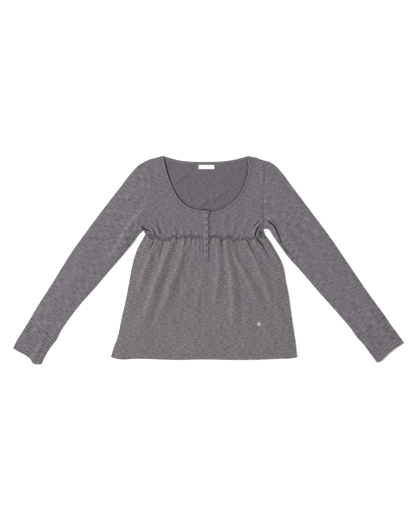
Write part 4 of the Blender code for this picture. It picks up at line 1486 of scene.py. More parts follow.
@dataclass(frozen=True)
class PlainFinish:
    """A finish whose shade varies a little over the surface: shell, thread, tape or embroidery."""

    name: str
    dark: Colour
    light: Colour
    roughness: float
    scale: float
    stretch: tuple[float, float, float] = (1.0, 1.0, 1.0)
    bump: float = 0.2
    specular: float = 0.3

    def make(self) -> bpy.types.Material:
        """Make the material.

        Returns:
            The material.
        """
        material = bpy.data.materials.new(self.name)
        material.use_nodes = True
        nodes = NodeTree(material.node_tree)
        shader = material.node_tree.nodes["Principled BSDF"]
        place = nodes.add("ShaderNodeTexCoord").outputs["Object"]
        grain = nodes.noise(nodes.scaled(place, self.stretch), self.scale, detail=4.0)
        mask = nodes.stepped(grain, low=0.35, high=0.65)
        nodes.link(nodes.blended(mask, self.dark, self.light), shader.inputs["Base Color"])
        bump = nodes.add("ShaderNodeBump")
        bump.inputs["Strength"].default_value = self.bump
        bump.inputs["Distance"].default_value = 0.0001
        nodes.link(grain, bump.inputs["Height"])
        nodes.link(bump.outputs[0], shader.inputs["Normal"])
        shader.inputs["Roughness"].default_value = self.roughness
        shader.inputs["Specular IOR Level"].default_value = self.specular
        return material


LONG_STREAK = (0.0175, 0.0019)
JERSEYS = {
    "skirt": HeatherJersey(
        "heather_jersey", (0.090, 0.081, 0.091), (0.196, 0.180, 0.190), (0.168, 0.142, 0.145),
    ),
    "bodice": HeatherJersey(
        "bodice_jersey", (0.088, 0.081, 0.091), (0.178, 0.165, 0.182), (0.146, 0.131, 0.142),
    ),
    "sleeve": HeatherJersey(
        "sleeve_jersey", (0.083, 0.075, 0.084), (0.202, 0.185, 0.203), (0.150, 0.134, 0.144),
        cast_share=0.18, streak=LONG_STREAK,
    ),
    # painted shade: the cuffs are a darker copy of the sleeve jersey
    "cuff": HeatherJersey(
        "cuff_jersey", (0.070, 0.064, 0.071), (0.194, 0.178, 0.195), (0.148, 0.131, 0.139),
        streak=LONG_STREAK,
    ),
    # the wrong side's own tone with painted shade: darker than the right side where it shows inside the
    # neckline
    "inside": HeatherJersey(
        "jersey_wrong_side_painted_shade", (0.078, 0.071, 0.080), (0.142, 0.130, 0.140), (0.118, 0.104, 0.114),
        cloud_share=0.1,
    ),
    "binding": HeatherJersey(
        "binding_jersey", (0.098, 0.089, 0.099), (0.182, 0.167, 0.182), (0.152, 0.136, 0.147),
        stitch=0.0007,
    ),
}
TRIMMINGS = {
    "shell": PlainFinish(
        "button_shell", (0.148, 0.142, 0.171), (0.216, 0.208, 0.250), 0.6, 420.0, bump=0.08, specular=0.2,
    ),
    "thread": PlainFinish(
        "sewing_thread", (0.105, 0.095, 0.108), (0.15, 0.137, 0.15), 0.7, 2500.0, (1.0, 3.0, 1.0),
    ),
    # sewing thread that is also painted shade: near black, so that it gives the shade in the buttons' hollows
    "dark_thread_and_painted_shade": PlainFinish(
        "button_thread_painted_shade", (0.03, 0.026, 0.034), (0.055, 0.048, 0.062), 0.6, 2500.0, (3.0, 1.0, 1.0),
    ),
    "tape": PlainFinish(
        "woven_tape", (0.68, 0.68, 0.67), (0.76, 0.76, 0.75), 0.75, 900.0, (0.3, 2.2, 1.0),
    ),
    "petal": PlainFinish(
        "cream_floss", (0.47, 0.44, 0.38), (0.60, 0.575, 0.50), 0.6, 1500.0, (1.0, 2.5, 1.0),
    ),
    "pollen": PlainFinish("yellow_floss", (0.50, 0.34, 0.09), (0.60, 0.44, 0.15), 0.6, 1500.0),
}


def make_finishes() -> Finishes:
    """Make the garment's materials once.

    Returns:
        The materials by the pieces that they dress.
    """
    heather, knit = heather_group(), knit_group()
    jerseys = {part: jersey.make(heather, knit) for part, jersey in JERSEYS.items()}
    return Finishes(**jerseys, **{part: finish.make() for part, finish in TRIMMINGS.items()})


@dataclass(frozen=True)
class Layers:
    """What every sub-assembly is made from: the cut, the relief and the finishes."""

    cut: Cut
    relief: Relief
    finishes: Finishes


@dataclass(frozen=True)
class Skirt:
    """The gathered skirt: a front with a notch for the placket, and a back."""

    layers: Layers
    side_columns: int = 132
    placket_columns: int = 12
    rows: int = 150
    row_knots: tuple[float, ...] = (0, 18, 50, 60, 132, 150)
    row_shares: tuple[float, ...] = (0.0, 0.032, 0.158, 0.205, 0.945, 1.0)
    notch_row: int = 60
    notch_left: float = -5.8
    notch_right: float = 13.2
    notch_bottom: float = -72.8
    notch_ease: float = 90.0
    notch_row_ease: float = 0.12
    centre_spread: float = 9.0
    seam_tuck: float = 1.0
    front_rise: float = 3.2
    front_rise_end: float = -60.0
    front_rise_run: float = 100.0
    hem_depth: float = 13.0
    hem_thickness: float = 0.45
    hem_groove: float = 0.35
    hem_groove_width: float = 0.9
    hem_step: float = 2.0
    back_columns: int = 100
    back_rows: int = 60
    back_crowding: float = 1.5

    def hem_y(self, x: Array) -> Array:
        """The front hem's y, which is a little higher than the back one towards the left."""
        rise = smooth((self.front_rise_end - x) / self.front_rise_run)
        return self.layers.cut.hem.y_at(x) + self.front_rise * rise

    def hem_wall(self, above: Array) -> Array:
        """Thickness of the cloth near the hem, with the turned-up band and its groove.

        Args:
            above: distances above the hem.

        Returns:
            The thickness at each of them.
        """
        band = self.hem_thickness * smooth((self.hem_depth + self.hem_step / 2 - above) / self.hem_step)
        groove = self.hem_groove * bell(above - self.hem_depth, self.hem_groove_width)
        return WALL + band - groove

    def front(self) -> bpy.types.Object:
        """Build the front of the skirt.

        Returns:
            The piece.
        """
        cut, sides = self.layers.cut, self.side_columns
        left_end, right_end = cut.waist.knots[0][0], cut.waist.knots[-1][0]
        columns = 2 * sides + self.placket_columns
        column, row = lattice(columns, self.rows)
        down = np.interp(row, self.row_knots, self.row_shares)
        notch_share = self.row_shares[self.row_knots.index(self.notch_row)]
        spread = self.centre_spread * smooth((down - notch_share) / (1 - notch_share))
        knots = (0, sides, sides + self.placket_columns, columns)
        top_x = np.interp(column, knots, (left_end, self.notch_left, self.notch_right, right_end))
        below_notch = (self.notch_left - self.centre_spread, self.notch_right + self.centre_spread)
        hem_x = np.interp(column, knots, (cut.hem.knots[0][0], *below_notch, cut.hem.knots[-1][0]))
        top_y = cut.seam_wave.y_at(top_x) - self.seam_tuck
        y = top_y + (self.hem_y(hem_x) - top_y) * down
        notch_y = top_y + (self.hem_y(hem_x) - top_y) * notch_share
        near = smooth(1 - np.abs(top_x - BUTTON_X) / self.notch_ease)
        near *= smooth(1 - np.abs(down - notch_share) / self.notch_row_ease)
        y += (self.notch_bottom - notch_y) * near
        notch_edges = (self.notch_left - spread, self.notch_right + spread)
        left = mixed(cut.skirt_left.x_at(y), notch_edges[0], column / sides)
        middle = mixed(*notch_edges, (column - sides) / self.placket_columns)
        past_notch = (column - sides - self.placket_columns) / sides
        right = mixed(notch_edges[1], cut.skirt_right.x_at(y), past_notch)
        x = np.where(column < knots[1], left, np.where(column > knots[2], right, middle))
        relief = self.layers.relief
        wall = self.hem_wall(y - self.hem_y(x))
        laid = Laid(x, y, relief.front(x, y), wall, relief.shade(x, y))

        def in_notch(cell_column: Array, cell_row: Array) -> Array:
            """Tell which cells lie where the placket is."""
            beside = (cell_column >= knots[1]) & (cell_column < knots[2])
            return beside & (cell_row < self.notch_row)

        return cloth_sheet("skirt_front", laid, self.layers.finishes.skirt, in_notch)

    def back(self) -> bpy.types.Object:
        """Build the back of the skirt.

        Returns:
            The piece.
        """
        cut = self.layers.cut
        column, row = lattice(self.back_columns, self.back_rows)
        share = column / self.back_columns
        down = (row / self.back_rows) ** self.back_crowding
        top_x = mixed(cut.waist.knots[0][0], cut.waist.knots[-1][0], share)
        hem_x = mixed(cut.hem.knots[0][0], cut.hem.knots[-1][0], share)
        top_y = cut.waist.y_at(top_x) - SEAM_GAP
        y = top_y + (cut.hem.y_at(hem_x) - top_y) * down
        x = mixed(cut.skirt_left.x_at(y), cut.skirt_right.x_at(y), share)
        laid = Laid(x, y, self.layers.relief.back(x, y), WALL)
        return cloth_sheet("skirt_back", laid, self.layers.finishes.skirt)

    def build(self) -> list[bpy.types.Object]:
        """Build both sides of the skirt.

        Returns:
            The front and the back.
        """
        front, back = self.front(), self.back()
        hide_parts("front_skirt")
        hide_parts("back_skirt")
        return [front, back]


@dataclass(frozen=True)
class Bodice:
    """The bodice: two fronts that meet at the placket, and a back."""

    layers: Layers
    columns: int = 150
    rows_a_step: int = 8
    corner_row: int = 3
    neck_row: int = 6
    last_row: int = 16
    centre_left: float = -5.8
    centre_shares: tuple[float, ...] = (0.0, 0.08, 0.19, 0.32, 0.46, 0.68)
    side_shares: tuple[float, ...] = (0.0, 0.35, 0.7, 1.0)
    neck_shares: tuple[float, ...] = (0.0, 0.1, 0.2, 0.3, 0.4, 0.5, 0.6, 0.71, 0.82, 0.92, 1.0)
    seam_tuck: float = 1.0
    blend_rows: float = 2.0
    back_columns: int = 120
    back_rows_a_step: int = 6
    back_crowding: float = 1.5
    shoulder_share: float = 5 / 30
    shoulder_gap: float = 1 / 30
    shoulder_end: float = 0.93
    near_enough: float = 50.0

    def start_of_neck(self, side: Side) -> tuple[float, float]:
        """Find where one front begins.

        Args:
            side: which side.

        Returns:
            The x of its edge at the placket, and that place's share of the neckline.
        """
        neck = self.layers.cut.neck(side)
        centre_x = self.centre_left if side is Side.LEFT else neck.knots[0][0]
        start_y = np.array([neck.knots[0][1]])
        _, _, share, _ = neck.near(np.array([centre_x]), start_y, self.near_enough)
        return centre_x, float(share[0])

    def front(self, side: Side) -> bpy.types.Object:
        """Build one side of the front.

        Args:
            side: which side.

        Returns:
            The piece.
        """
        cut = self.layers.cut
        rows = self.last_row * self.rows_a_step
        column, row = lattice(self.columns, rows)
        step = np.arange(rows + 1) / self.rows_a_step
        centre_x, first = self.start_of_neck(side)
        shares = first + (1 - first) * np.array(self.neck_shares)
        below_binding = NECK_SEAM + SEAM_GAP
        along_neck = np.interp(step, np.arange(len(shares)) + self.neck_row, shares)
        inner = cut.beside_neck(side, along_neck, below_binding)
        off_placket = inner[step == self.neck_row][0][0] - centre_x
        inner[:, 0] -= off_placket * smooth(1 - np.abs(step - self.neck_row) / self.blend_rows)
        seam_y = cut.waist.y_at(centre_x)
        rise = np.interp(step, np.arange(self.neck_row + 1), self.centre_shares + (1.0,))
        low = step < self.neck_row
        corner = np.array([centre_x, seam_y])
        inner[low] = mixed(corner, inner[step == self.neck_row][0], rise[low, None])
        armhole = cut.armhole(side)
        side_start = np.array(cut.waist.knots[0 if side is Side.LEFT else -1])
        up_side = np.interp(step, np.arange(self.corner_row + 1), self.side_shares)
        outer = mixed(side_start, armhole.at(1.0), up_side[:, None])
        high = step > self.corner_row
        down_armhole = np.interp(self.last_row - step, np.arange(len(ARMHOLE_SHARES)), ARMHOLE_SHARES)
        outer[high] = armhole.at(down_armhole[high])
        share = column / self.columns
        x = mixed(outer[row, 0], inner[row, 0], share)
        y = mixed(outer[row, 1], inner[row, 1], share)
        near_seam = smooth(1 - step[row] / self.blend_rows)
        near_top = smooth(1 - (self.last_row - step[row]) / self.blend_rows)
        y += (cut.seam_wave.y_at(x[:, :1]) + self.seam_tuck - y[:, :1]) * near_seam
        y += (cut.shoulder(side).y_at(x[:, -1:]) - y[:, -1:]) * near_top
        relief = self.layers.relief
        laid = Laid(x, y, relief.front(x, y), WALL, relief.shade(x, y))
        return cloth_sheet(f"bodice_front_{side.value}", laid, self.layers.finishes.bodice)

    def back(self) -> bpy.types.Object:
        """Build the back, whose wrong side shows in the neckline.

        Returns:
            The piece.
        """
        cut = self.layers.cut
        last = len(ARMHOLE_SHARES)
        rows = last * self.back_rows_a_step
        column, row = lattice(self.back_columns, rows)
        step = row / self.back_rows_a_step
        share = column / self.back_columns
        seam_left, seam_right = (np.array(cut.waist.knots[end]) for end in (0, -1))
        down = np.interp(last - step, np.arange(last), ARMHOLE_SHARES)
        left, right = cut.armhole_left.at(down), cut.armhole_right.at(down)
        low = (step < 1)[..., None]
        left = np.where(low, mixed(seam_left, cut.armhole_left.at(1.0), step[..., None]), left)
        right = np.where(low, mixed(seam_right, cut.armhole_right.at(1.0), step[..., None]), right)
        across = mixed(left, right, share[..., None])
        straight = mixed(cut.armhole_left.at(0.0), cut.armhole_right.at(0.0), share[..., None])
        rise = (1 - down) ** self.back_crowding * (step >= 1)
        placed = across + (self.back_top(share) - straight) * rise[..., None]
        x, y = placed[..., 0], placed[..., 1]
        y = y + (cut.waist.y_at(x) + SEAM_GAP - y) * np.clip(1 - step, 0, 1)
        relief = self.layers.relief
        laid = Laid(x, y, relief.back(x, y), WALL, relief.shade_in_neck(x, y))
        return cloth_sheet("bodice_back", laid, self.layers.finishes.inside)

    def back_top(self, share: Array) -> Array:
        """Places along the back's upper edge: shoulder, below the binding, shoulder.

        Args:
            share: shares of the way from the left armhole to the right one.

        Returns:
            One row of x and y for each share.
        """
        cut, shoulder_part, gap = self.layers.cut, self.shoulder_share, self.shoulder_gap
        left = cut.shoulder_left.at(1 - self.shoulder_end * np.clip(share / shoulder_part, 0, 1))
        right = cut.shoulder_right.at(1 - self.shoulder_end * np.clip((1 - share) / shoulder_part, 0, 1))
        along = (share - shoulder_part - gap) / (1 - 2 * shoulder_part - 2 * gap)
        neck = cut.below_back_neck(np.clip(along, 0, 1), NECK_SEAM + SEAM_GAP)
        to_neck = np.clip((share - shoulder_part) / gap, 0, 1)[..., None]
        from_neck = np.clip((1 - share - shoulder_part) / gap, 0, 1)[..., None]
        on_left = share[..., None] < 0.5
        return np.where(on_left, mixed(left, neck, to_neck), mixed(right, neck, from_neck))

    def build(self) -> list[bpy.types.Object]:
        """Build the bodice's three pieces.

        Returns:
            The left front, the right front and the back.
        """
        left, right, back = self.front(Side.LEFT), self.front(Side.RIGHT), self.back()
        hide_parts("front_bodice_left")
        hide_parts("front_bodice_right")
        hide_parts("back_bodice")
        return [left, right, back]


@dataclass(frozen=True)
class Sleeve:
    """One long sleeve with its cuff."""

    layers: Layers
    side: Side
    across_steps: int = 72
    section_steps: int = 190
    end: float = 0.9995
    bow_reach: float = 0.4
    cuff_steps: int = 44
    cuff_gap: float = SEAM_GAP + 0.1
    cuff_seam_dip: float = 0.8
    cuff_seam_reach: float = 2.4
    hem_depth: float = 14.0
    hem_thickness: float = 0.35
    hem_step: float = 2.0

    def build(self) -> None:
        """Build the sleeve and its cuff."""
        cut, relief, finishes = self.layers.cut, self.layers.relief, self.layers.finishes
        upper, lower = cut.sleeve(self.side)
        armhole = cut.armhole(self.side)

        def sleeve_plan(share: Array, across: Array) -> Array:
            """Lay out the sleeve, whose first section follows the armhole.

            Args:
                share: shares along the sleeve.
                across: shares across it.

            Returns:
                One row of x and y for each place.
            """
            along = self.end * share
            side = across[..., None]
            bow = armhole.at(across) - mixed(armhole.at(0.0), armhole.at(1.0), side)
            fade = (np.clip(1 - along / self.bow_reach, 0, None) ** 2)[..., None]
            return mixed(upper.at(along), lower.at(along), side) + bow * fade

        cuff_upper, cuff_lower, cuff_end = cut.cuff(self.side)

        def cuff_plan(share: Array, across: Array) -> Array:
            """Lay out the cuff, whose last section follows its open end.

            Args:
                share: shares along the cuff.
                across: shares across it.

            Returns:
                One row of x and y for each place.
            """
            gap = self.cuff_gap / cuff_upper.length
            along, side = gap + share * (1 - gap), across[..., None]
            bend = cuff_end.at(across) - mixed(cuff_end.at(0.0), cuff_end.at(1.0), side)
            return mixed(cuff_upper.at(along), cuff_lower.at(along), side) + bend * (share**2)[..., None]

        def dip_at_start(share: Array) -> Array:
            """Height that the cuff loses in its seam and gains in its turned hem.

            Args:
                share: shares along the cuff.

            Returns:
                The change of height at each of them.
            """
            walked = share * cuff_upper.length
            hem = smooth((walked - cuff_upper.length + self.hem_depth) / self.hem_step)
            return self.hem_thickness * hem - self.cuff_seam_dip * bell(walked, self.cuff_seam_reach)

        def dip_at_end(share: Array) -> Array:
            """Height that the cuff's seam takes off the sleeve where it ends."""
            return -self.cuff_seam_dip * bell((1 - share) * upper.length, self.cuff_seam_reach)

        sleeve = Tube(upper, self.across_steps, self.section_steps).build(
            f"sleeve_cloth_{self.side.value}", sleeve_plan, relief, finishes.sleeve, dip_at_end
        )
        cuff = Tube(cuff_upper, self.across_steps, self.cuff_steps).build(
            f"cuff_cloth_{self.side.value}", cuff_plan, relief, finishes.cuff, dip_at_start
        )
        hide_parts(f"sleeve_{self.side.value}")
        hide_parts(f"cuff_{self.side.value}")


@dataclass(frozen=True)
class NeckBinding:
    """The narrow binding round the neckline, in three lengths."""

    layers: Layers
    width: float = 6.5
    edge_wall: float = 1.0
    crown: float = 1.1
    rim: float = 0.3
    columns: int = 240
    rows: int = 10
    back_columns: int = 200

    def rolled(self, across: Array) -> Array:
        """Thickness across the binding, which is folded round the edge."""
        return self.edge_wall + self.crown * np.sqrt(1 - (2 * across - 1) ** 2)

    def front(self, side: Side) -> bpy.types.Object:
        """Build the length of one side of the front.

        Args:
            side: which side.

        Returns:
            The piece.
        """
        layers = self.layers
        column, row = lattice(self.columns, self.rows)
        across = (1 - np.cos(np.pi * row / self.rows)) / 2
        placed = layers.cut.beside_neck(side, column / self.columns, self.width * across)
        x, y = placed[..., 0], placed[..., 1]
        under = layers.relief.front(x, y)
        if side is Side.LEFT:
            under = under + placket_rise(x)
        laid = Laid(x, y, under, self.rolled(across))
        return cloth_sheet(f"binding_{side.value}", laid, layers.finishes.binding, rim=self.rim)

    def back(self) -> bpy.types.Object:
        """Build the length across the back.

        Returns:
            The piece.
        """
        column, row = lattice(self.back_columns, self.rows)
        across = (1 - np.cos(np.pi * row / self.rows)) / 2
        placed = self.layers.cut.below_back_neck(column / self.back_columns, self.width * across)
        x, y = placed[..., 0], placed[..., 1]
        laid = Laid(x, y, x * 0, self.rolled(across))
        return cloth_sheet("binding_back", laid, self.layers.finishes.binding, rim=self.rim)

    def build(self) -> list[bpy.types.Object]:
        """Build the binding's three lengths.

        Returns:
            The left front, the right front and the back.
        """
        left, right, back = self.front(Side.LEFT), self.front(Side.RIGHT), self.back()
        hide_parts("neck_binding_left")
        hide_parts("neck_binding_right")
        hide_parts("neck_binding_back")
        return [left, right, back]


def placket_rise(x: Array) -> Array:
    """How far the top band has climbed from the left front on to the under band."""
    return (WALL + BAND_GAP) * smooth((x - BAND_LEFT) / BAND_CLIMB)


@dataclass(frozen=True)
class Placket:
    """The two bands of the placket, one on the other."""

    layers: Layers
    bottom: float = -72.5
    top: float = 69.6
    under_top: float = 63.0
    left: float = -5.5
    right: float = 12.3
    under_left: float = -1.0
    under_right: float = PLACKET_RIGHT
    columns: int = 18
    rows: int = 150
    edge_fall: float = 0.35
    edge_run: float = 4.0
    edge_from: float = 4.5
    stitch_dip: float = 0.18
    stitch_reach: float = 0.8
    stitch_insets: tuple[float, float] = (2.2, 1.8)
    gathered_share: float = 0.5
    gathered_reach: float = 46.0
    neck_share: float = 0.9
    neck_y: float = 75.0

    def height(self, y: Array) -> Array:
        """Height of the under band's underside.

        Args:
            y: places down the placket.

        Returns:
            The height at each of them.
        """
        relief = self.layers.relief
        height = BACK_TOP + relief.back(y * 0 + BUTTON_X, y) + relief.loft
        height += relief.gathered_lift * self.gathered_share * bell(y, self.gathered_reach)
        near_neck = np.exp(-np.abs(y - self.neck_y) / relief.neck_reach)
        return height + relief.neck_lift * self.neck_share * near_neck

    def face(self, y: float) -> float:
        """Height of the top band's face at the buttons' x."""
        return float(self.height(np.array([y]))[0]) + 2 * WALL + BAND_GAP

    def band(self, name: str, left: float, right: float, top: float, on_top: bool) -> bpy.types.Object:
        """Build one band.

        Args:
            name: the piece's name.
            left: x of its left edge.
            right: x of its right edge.
            top: y of its upper end.
            on_top: whether it is the band that the buttons sit on.

        Returns:
            The piece.
        """
        column, row = lattice(self.columns, self.rows)
        x = mixed(left, right, column / self.columns)
        y = mixed(top, self.bottom, row / self.rows)
        under = self.height(y) + (placket_rise(x) if on_top else 0.0)
        thinned = self.edge_fall * smooth((x - self.right + self.edge_from) / self.edge_run)
        wall = WALL - thinned
        under -= thinned * on_top
        if on_top:
            for stitched in (left + self.stitch_insets[0], right - self.stitch_insets[1]):
                wall -= self.stitch_dip * bell(x - stitched, self.stitch_reach)
        finish = self.layers.finishes.binding if on_top else self.layers.finishes.bodice
        laid = Laid(x, y, under, wall)
        return cloth_sheet(name, laid, finish, rim=0.4)

    def build(self) -> list[bpy.types.Object]:
        """Build both bands.

        Returns:
            The under band and the top band.
        """
        under = self.band("placket_inner", self.under_left, self.under_right, self.under_top, False)
        over = self.band("placket_outer", self.left, self.right, self.top, True)
        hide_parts("placket_under")
        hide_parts("placket_band")
        return [under, over]


@dataclass(frozen=True)
class Button:
    """A turned shell button with a lens-shaped hollow, two holes and a bar of thread."""

    layers: Layers
    number: int
    radius: float = 5.6
    thickness: float = 1.5
    rounding: float = 0.35
    face_rounding: float = 0.2
    face_spare: float = 0.1
    rim_radius: float = 4.2
    rim_width: float = 0.75
    rim_rise: float = 0.35
    face_rings: int = 20
    turns: int = 48
    hollow_length: float = 4.4
    hollow_width: float = 1.15
    hollow_depth: float = 0.95
    strands: tuple[float, ...] = (-0.35, 0.0, 0.35)
    strand_size: tuple[float, float, float] = (0.24, 1.9, 0.3)
    strand_depth: float = 0.55

    @property
    def y(self) -> float:
        """The button's y in the row down the placket."""
        return BUTTON_TOP_Y - self.number * BUTTON_SPACING

    def profile(self) -> list[tuple[float, float]]:
        """Draw half of the turned shape.

        Returns:
            Radius and height from the middle of its underside round to the middle of its face.
        """
        foot = self.radius - self.rounding
        top = [
            (radius, self.thickness + self.rim_rise * bell(radius - self.rim_radius, self.rim_width))
            for radius in np.linspace(foot, 0.0, self.face_rings)
        ]
        side = [(self.radius, self.rounding), (self.radius, self.thickness - self.face_rounding)]
        return [(0.0, 0.0), (foot, 0.0)] + side + top

    def build(self, placket: Placket) -> None:
        """Build the button and its thread.

        Args:
            placket: the placket that it sits on.
        """
        seat = placket.face(self.y) + BUTTON_GAP
        turn = Matrix.Rotation(math.radians(BUTTON_TILTS[self.number]), 3, "Z")
        shape = bmesh.new()
        ring = [shape.verts.new((radius, 0, height)) for radius, height in self.profile()]
        for below, above in zip(ring, ring[1:]):
            shape.edges.new((below, above))
        bmesh.ops.spin(
            shape, geom=shape.verts[:] + shape.edges[:], axis=(0, 0, 1), cent=(0, 0, 0),
            angle=2 * math.pi, steps=self.turns, use_merge=True,
        )
        bmesh.ops.remove_doubles(shape, verts=shape.verts, dist=0.002)
        bmesh.ops.recalc_face_normals(shape, faces=shape.faces)
        for vert in shape.verts:
            if vert.co.z > self.thickness - self.face_spare:
                lens = abs(vert.co.y) / self.hollow_length
                width = self.hollow_width * max(0.0, 1 - lens**2)
                if width > 0:
                    inner = max(0.0, 1 - (vert.co.x / width) ** 2)
                    vert.co.z -= self.hollow_depth * inner**0.5
        bmesh.ops.rotate(shape, verts=shape.verts, cent=(0, 0, 0), matrix=turn)
        self.settle(shape, seat)
        finishes = self.layers.finishes
        button = add_piece(f"fisheye_button_{self.number + 1}", shape, finishes.shell)
        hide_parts(f"button_{self.number + 1}")
        # the near-black thread sunk in the hollow is thread and painted shade of the hollow together
        sewn = bmesh.new()
        for strand in self.strands:
            sunk = Matrix.Translation((strand, 0, self.thickness - self.strand_depth))
            bar = sunk @ Matrix.Diagonal((*self.strand_size, 1.0))
            bmesh.ops.create_uvsphere(sewn, u_segments=8, v_segments=6, radius=1.0, matrix=bar)
        bmesh.ops.rotate(sewn, verts=sewn.verts, cent=(0, 0, 0), matrix=turn)
        self.settle(sewn, seat)
        add_piece(f"button_thread_painted_shade_{self.number + 1}", sewn, finishes.dark_thread_and_painted_shade)

    def settle(self, shape: bmesh.types.BMesh, seat: float) -> None:
        """Move a shape made in millimetres at the origin to the button's place."""
        for vert in shape.verts:
            vert.co = to_frame(BUTTON_X + vert.co.x, self.y + vert.co.y, seat + vert.co.z).tolist()


RUFFLE_RUNS = {Side.LEFT: (-168.0, -6.4), Side.RIGHT: (13.8, 170.0)}


@dataclass(frozen=True)
class SeamRuffle:
    """The narrow gathered strip that stands over the empire seam."""

    layers: Layers
    side: Side
    width: float = 4.2
    edge_wall: float = 0.45
    crown: float = 1.8
    columns: int = 320
    rows: int = 8
    stand: float = 0.25
    rim: float = 0.2
    loop_length: float = 9.0
    loop_drift: float = 7.0
    loop_share: float = 0.55
    least_shade: float = 0.06
    more_shade: float = 0.34

    def build(self) -> bpy.types.Object:
        """Build the strip, which follows the scallops of the seam.

        Returns:
            The piece.
        """
        column, row = lattice(self.columns, self.rows)
        across = (1 - np.cos(np.pi * row / self.rows)) / 2
        line = self.layers.cut.seam_wave
        x = mixed(*RUFFLE_RUNS[self.side], column / self.columns)
        y = line.y_at(x) + self.width * (across - 0.5)
        turn = 2 * np.pi * x / self.loop_length + np.sin(x / self.loop_drift)
        loops = 1 - self.loop_share * (0.5 - 0.5 * np.cos(turn))
        wall = self.edge_wall + self.crown * loops * np.sqrt(1 - (2 * across - 1) ** 2)
        under = self.layers.relief.front(x, line.y_at(x)) + WALL + self.stand
        uneven = 0.5 + 0.5 * drifting(x, wave=2.3, swing=2.0, slow_wave=9.1)
        laid = Laid(x, y, under, wall, self.least_shade + self.more_shade * uneven)
        name, finish = f"seam_ruffle_{self.side.value}", self.layers.finishes.binding
        strip = cloth_sheet(name, laid, finish, rim=self.rim)
        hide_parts(f"waist_frill_{self.side.value}")
        return strip


@dataclass(frozen=True)
class NeckLabel:
    """The blank woven label inside the back neck."""

    layers: Layers
    centre: tuple[float, float] = (4.3, 202.8)
    size: tuple[float, float] = (46.5, 12.4)
    wall: float = 0.6
    rim: float = 0.2
    columns: int = 60
    rows: int = 18
    curl: float = 0.5
    middle_share: float = 0.4
    fold: float = 0.35
    fold_reach: float = 1.6

    def build(self) -> bpy.types.Object:
        """Build the label, sewn at its two ends and a little raised between them.

        Returns:
            The piece.
        """
        column, row = lattice(self.columns, self.rows)
        along, up = column / self.columns, row / self.rows
        x = self.centre[0] + self.size[0] * (along - 0.5)
        y = self.centre[1] + self.size[1] * (up - 0.5)
        across = self.middle_share + (1 - self.middle_share) * (2 * up - 1) ** 2
        raised = self.curl * np.sin(np.pi * along) ** 0.5 * across
        turned = self.fold * bell(np.minimum(along, 1 - along) * self.size[0], self.fold_reach)
        seat = self.layers.relief.back(x, y) + BACK_TOP
        laid = Laid(x, y, seat + raised * (along > 0) * (along < 1), self.wall + turned)
        label = cloth_sheet("woven_label", laid, self.layers.finishes.tape, rim=self.rim)
        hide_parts("neck_label")
        return label


class Stitch(NamedTuple):
    """One visible stitch: its place, its direction in plan and its length."""

    place: tuple[float, float, float]
    angle: float
    length: float


class Pace(NamedTuple):
    """How a row is sewn: from one stitch to the next, and the length of each."""

    spacing: float
    length: float


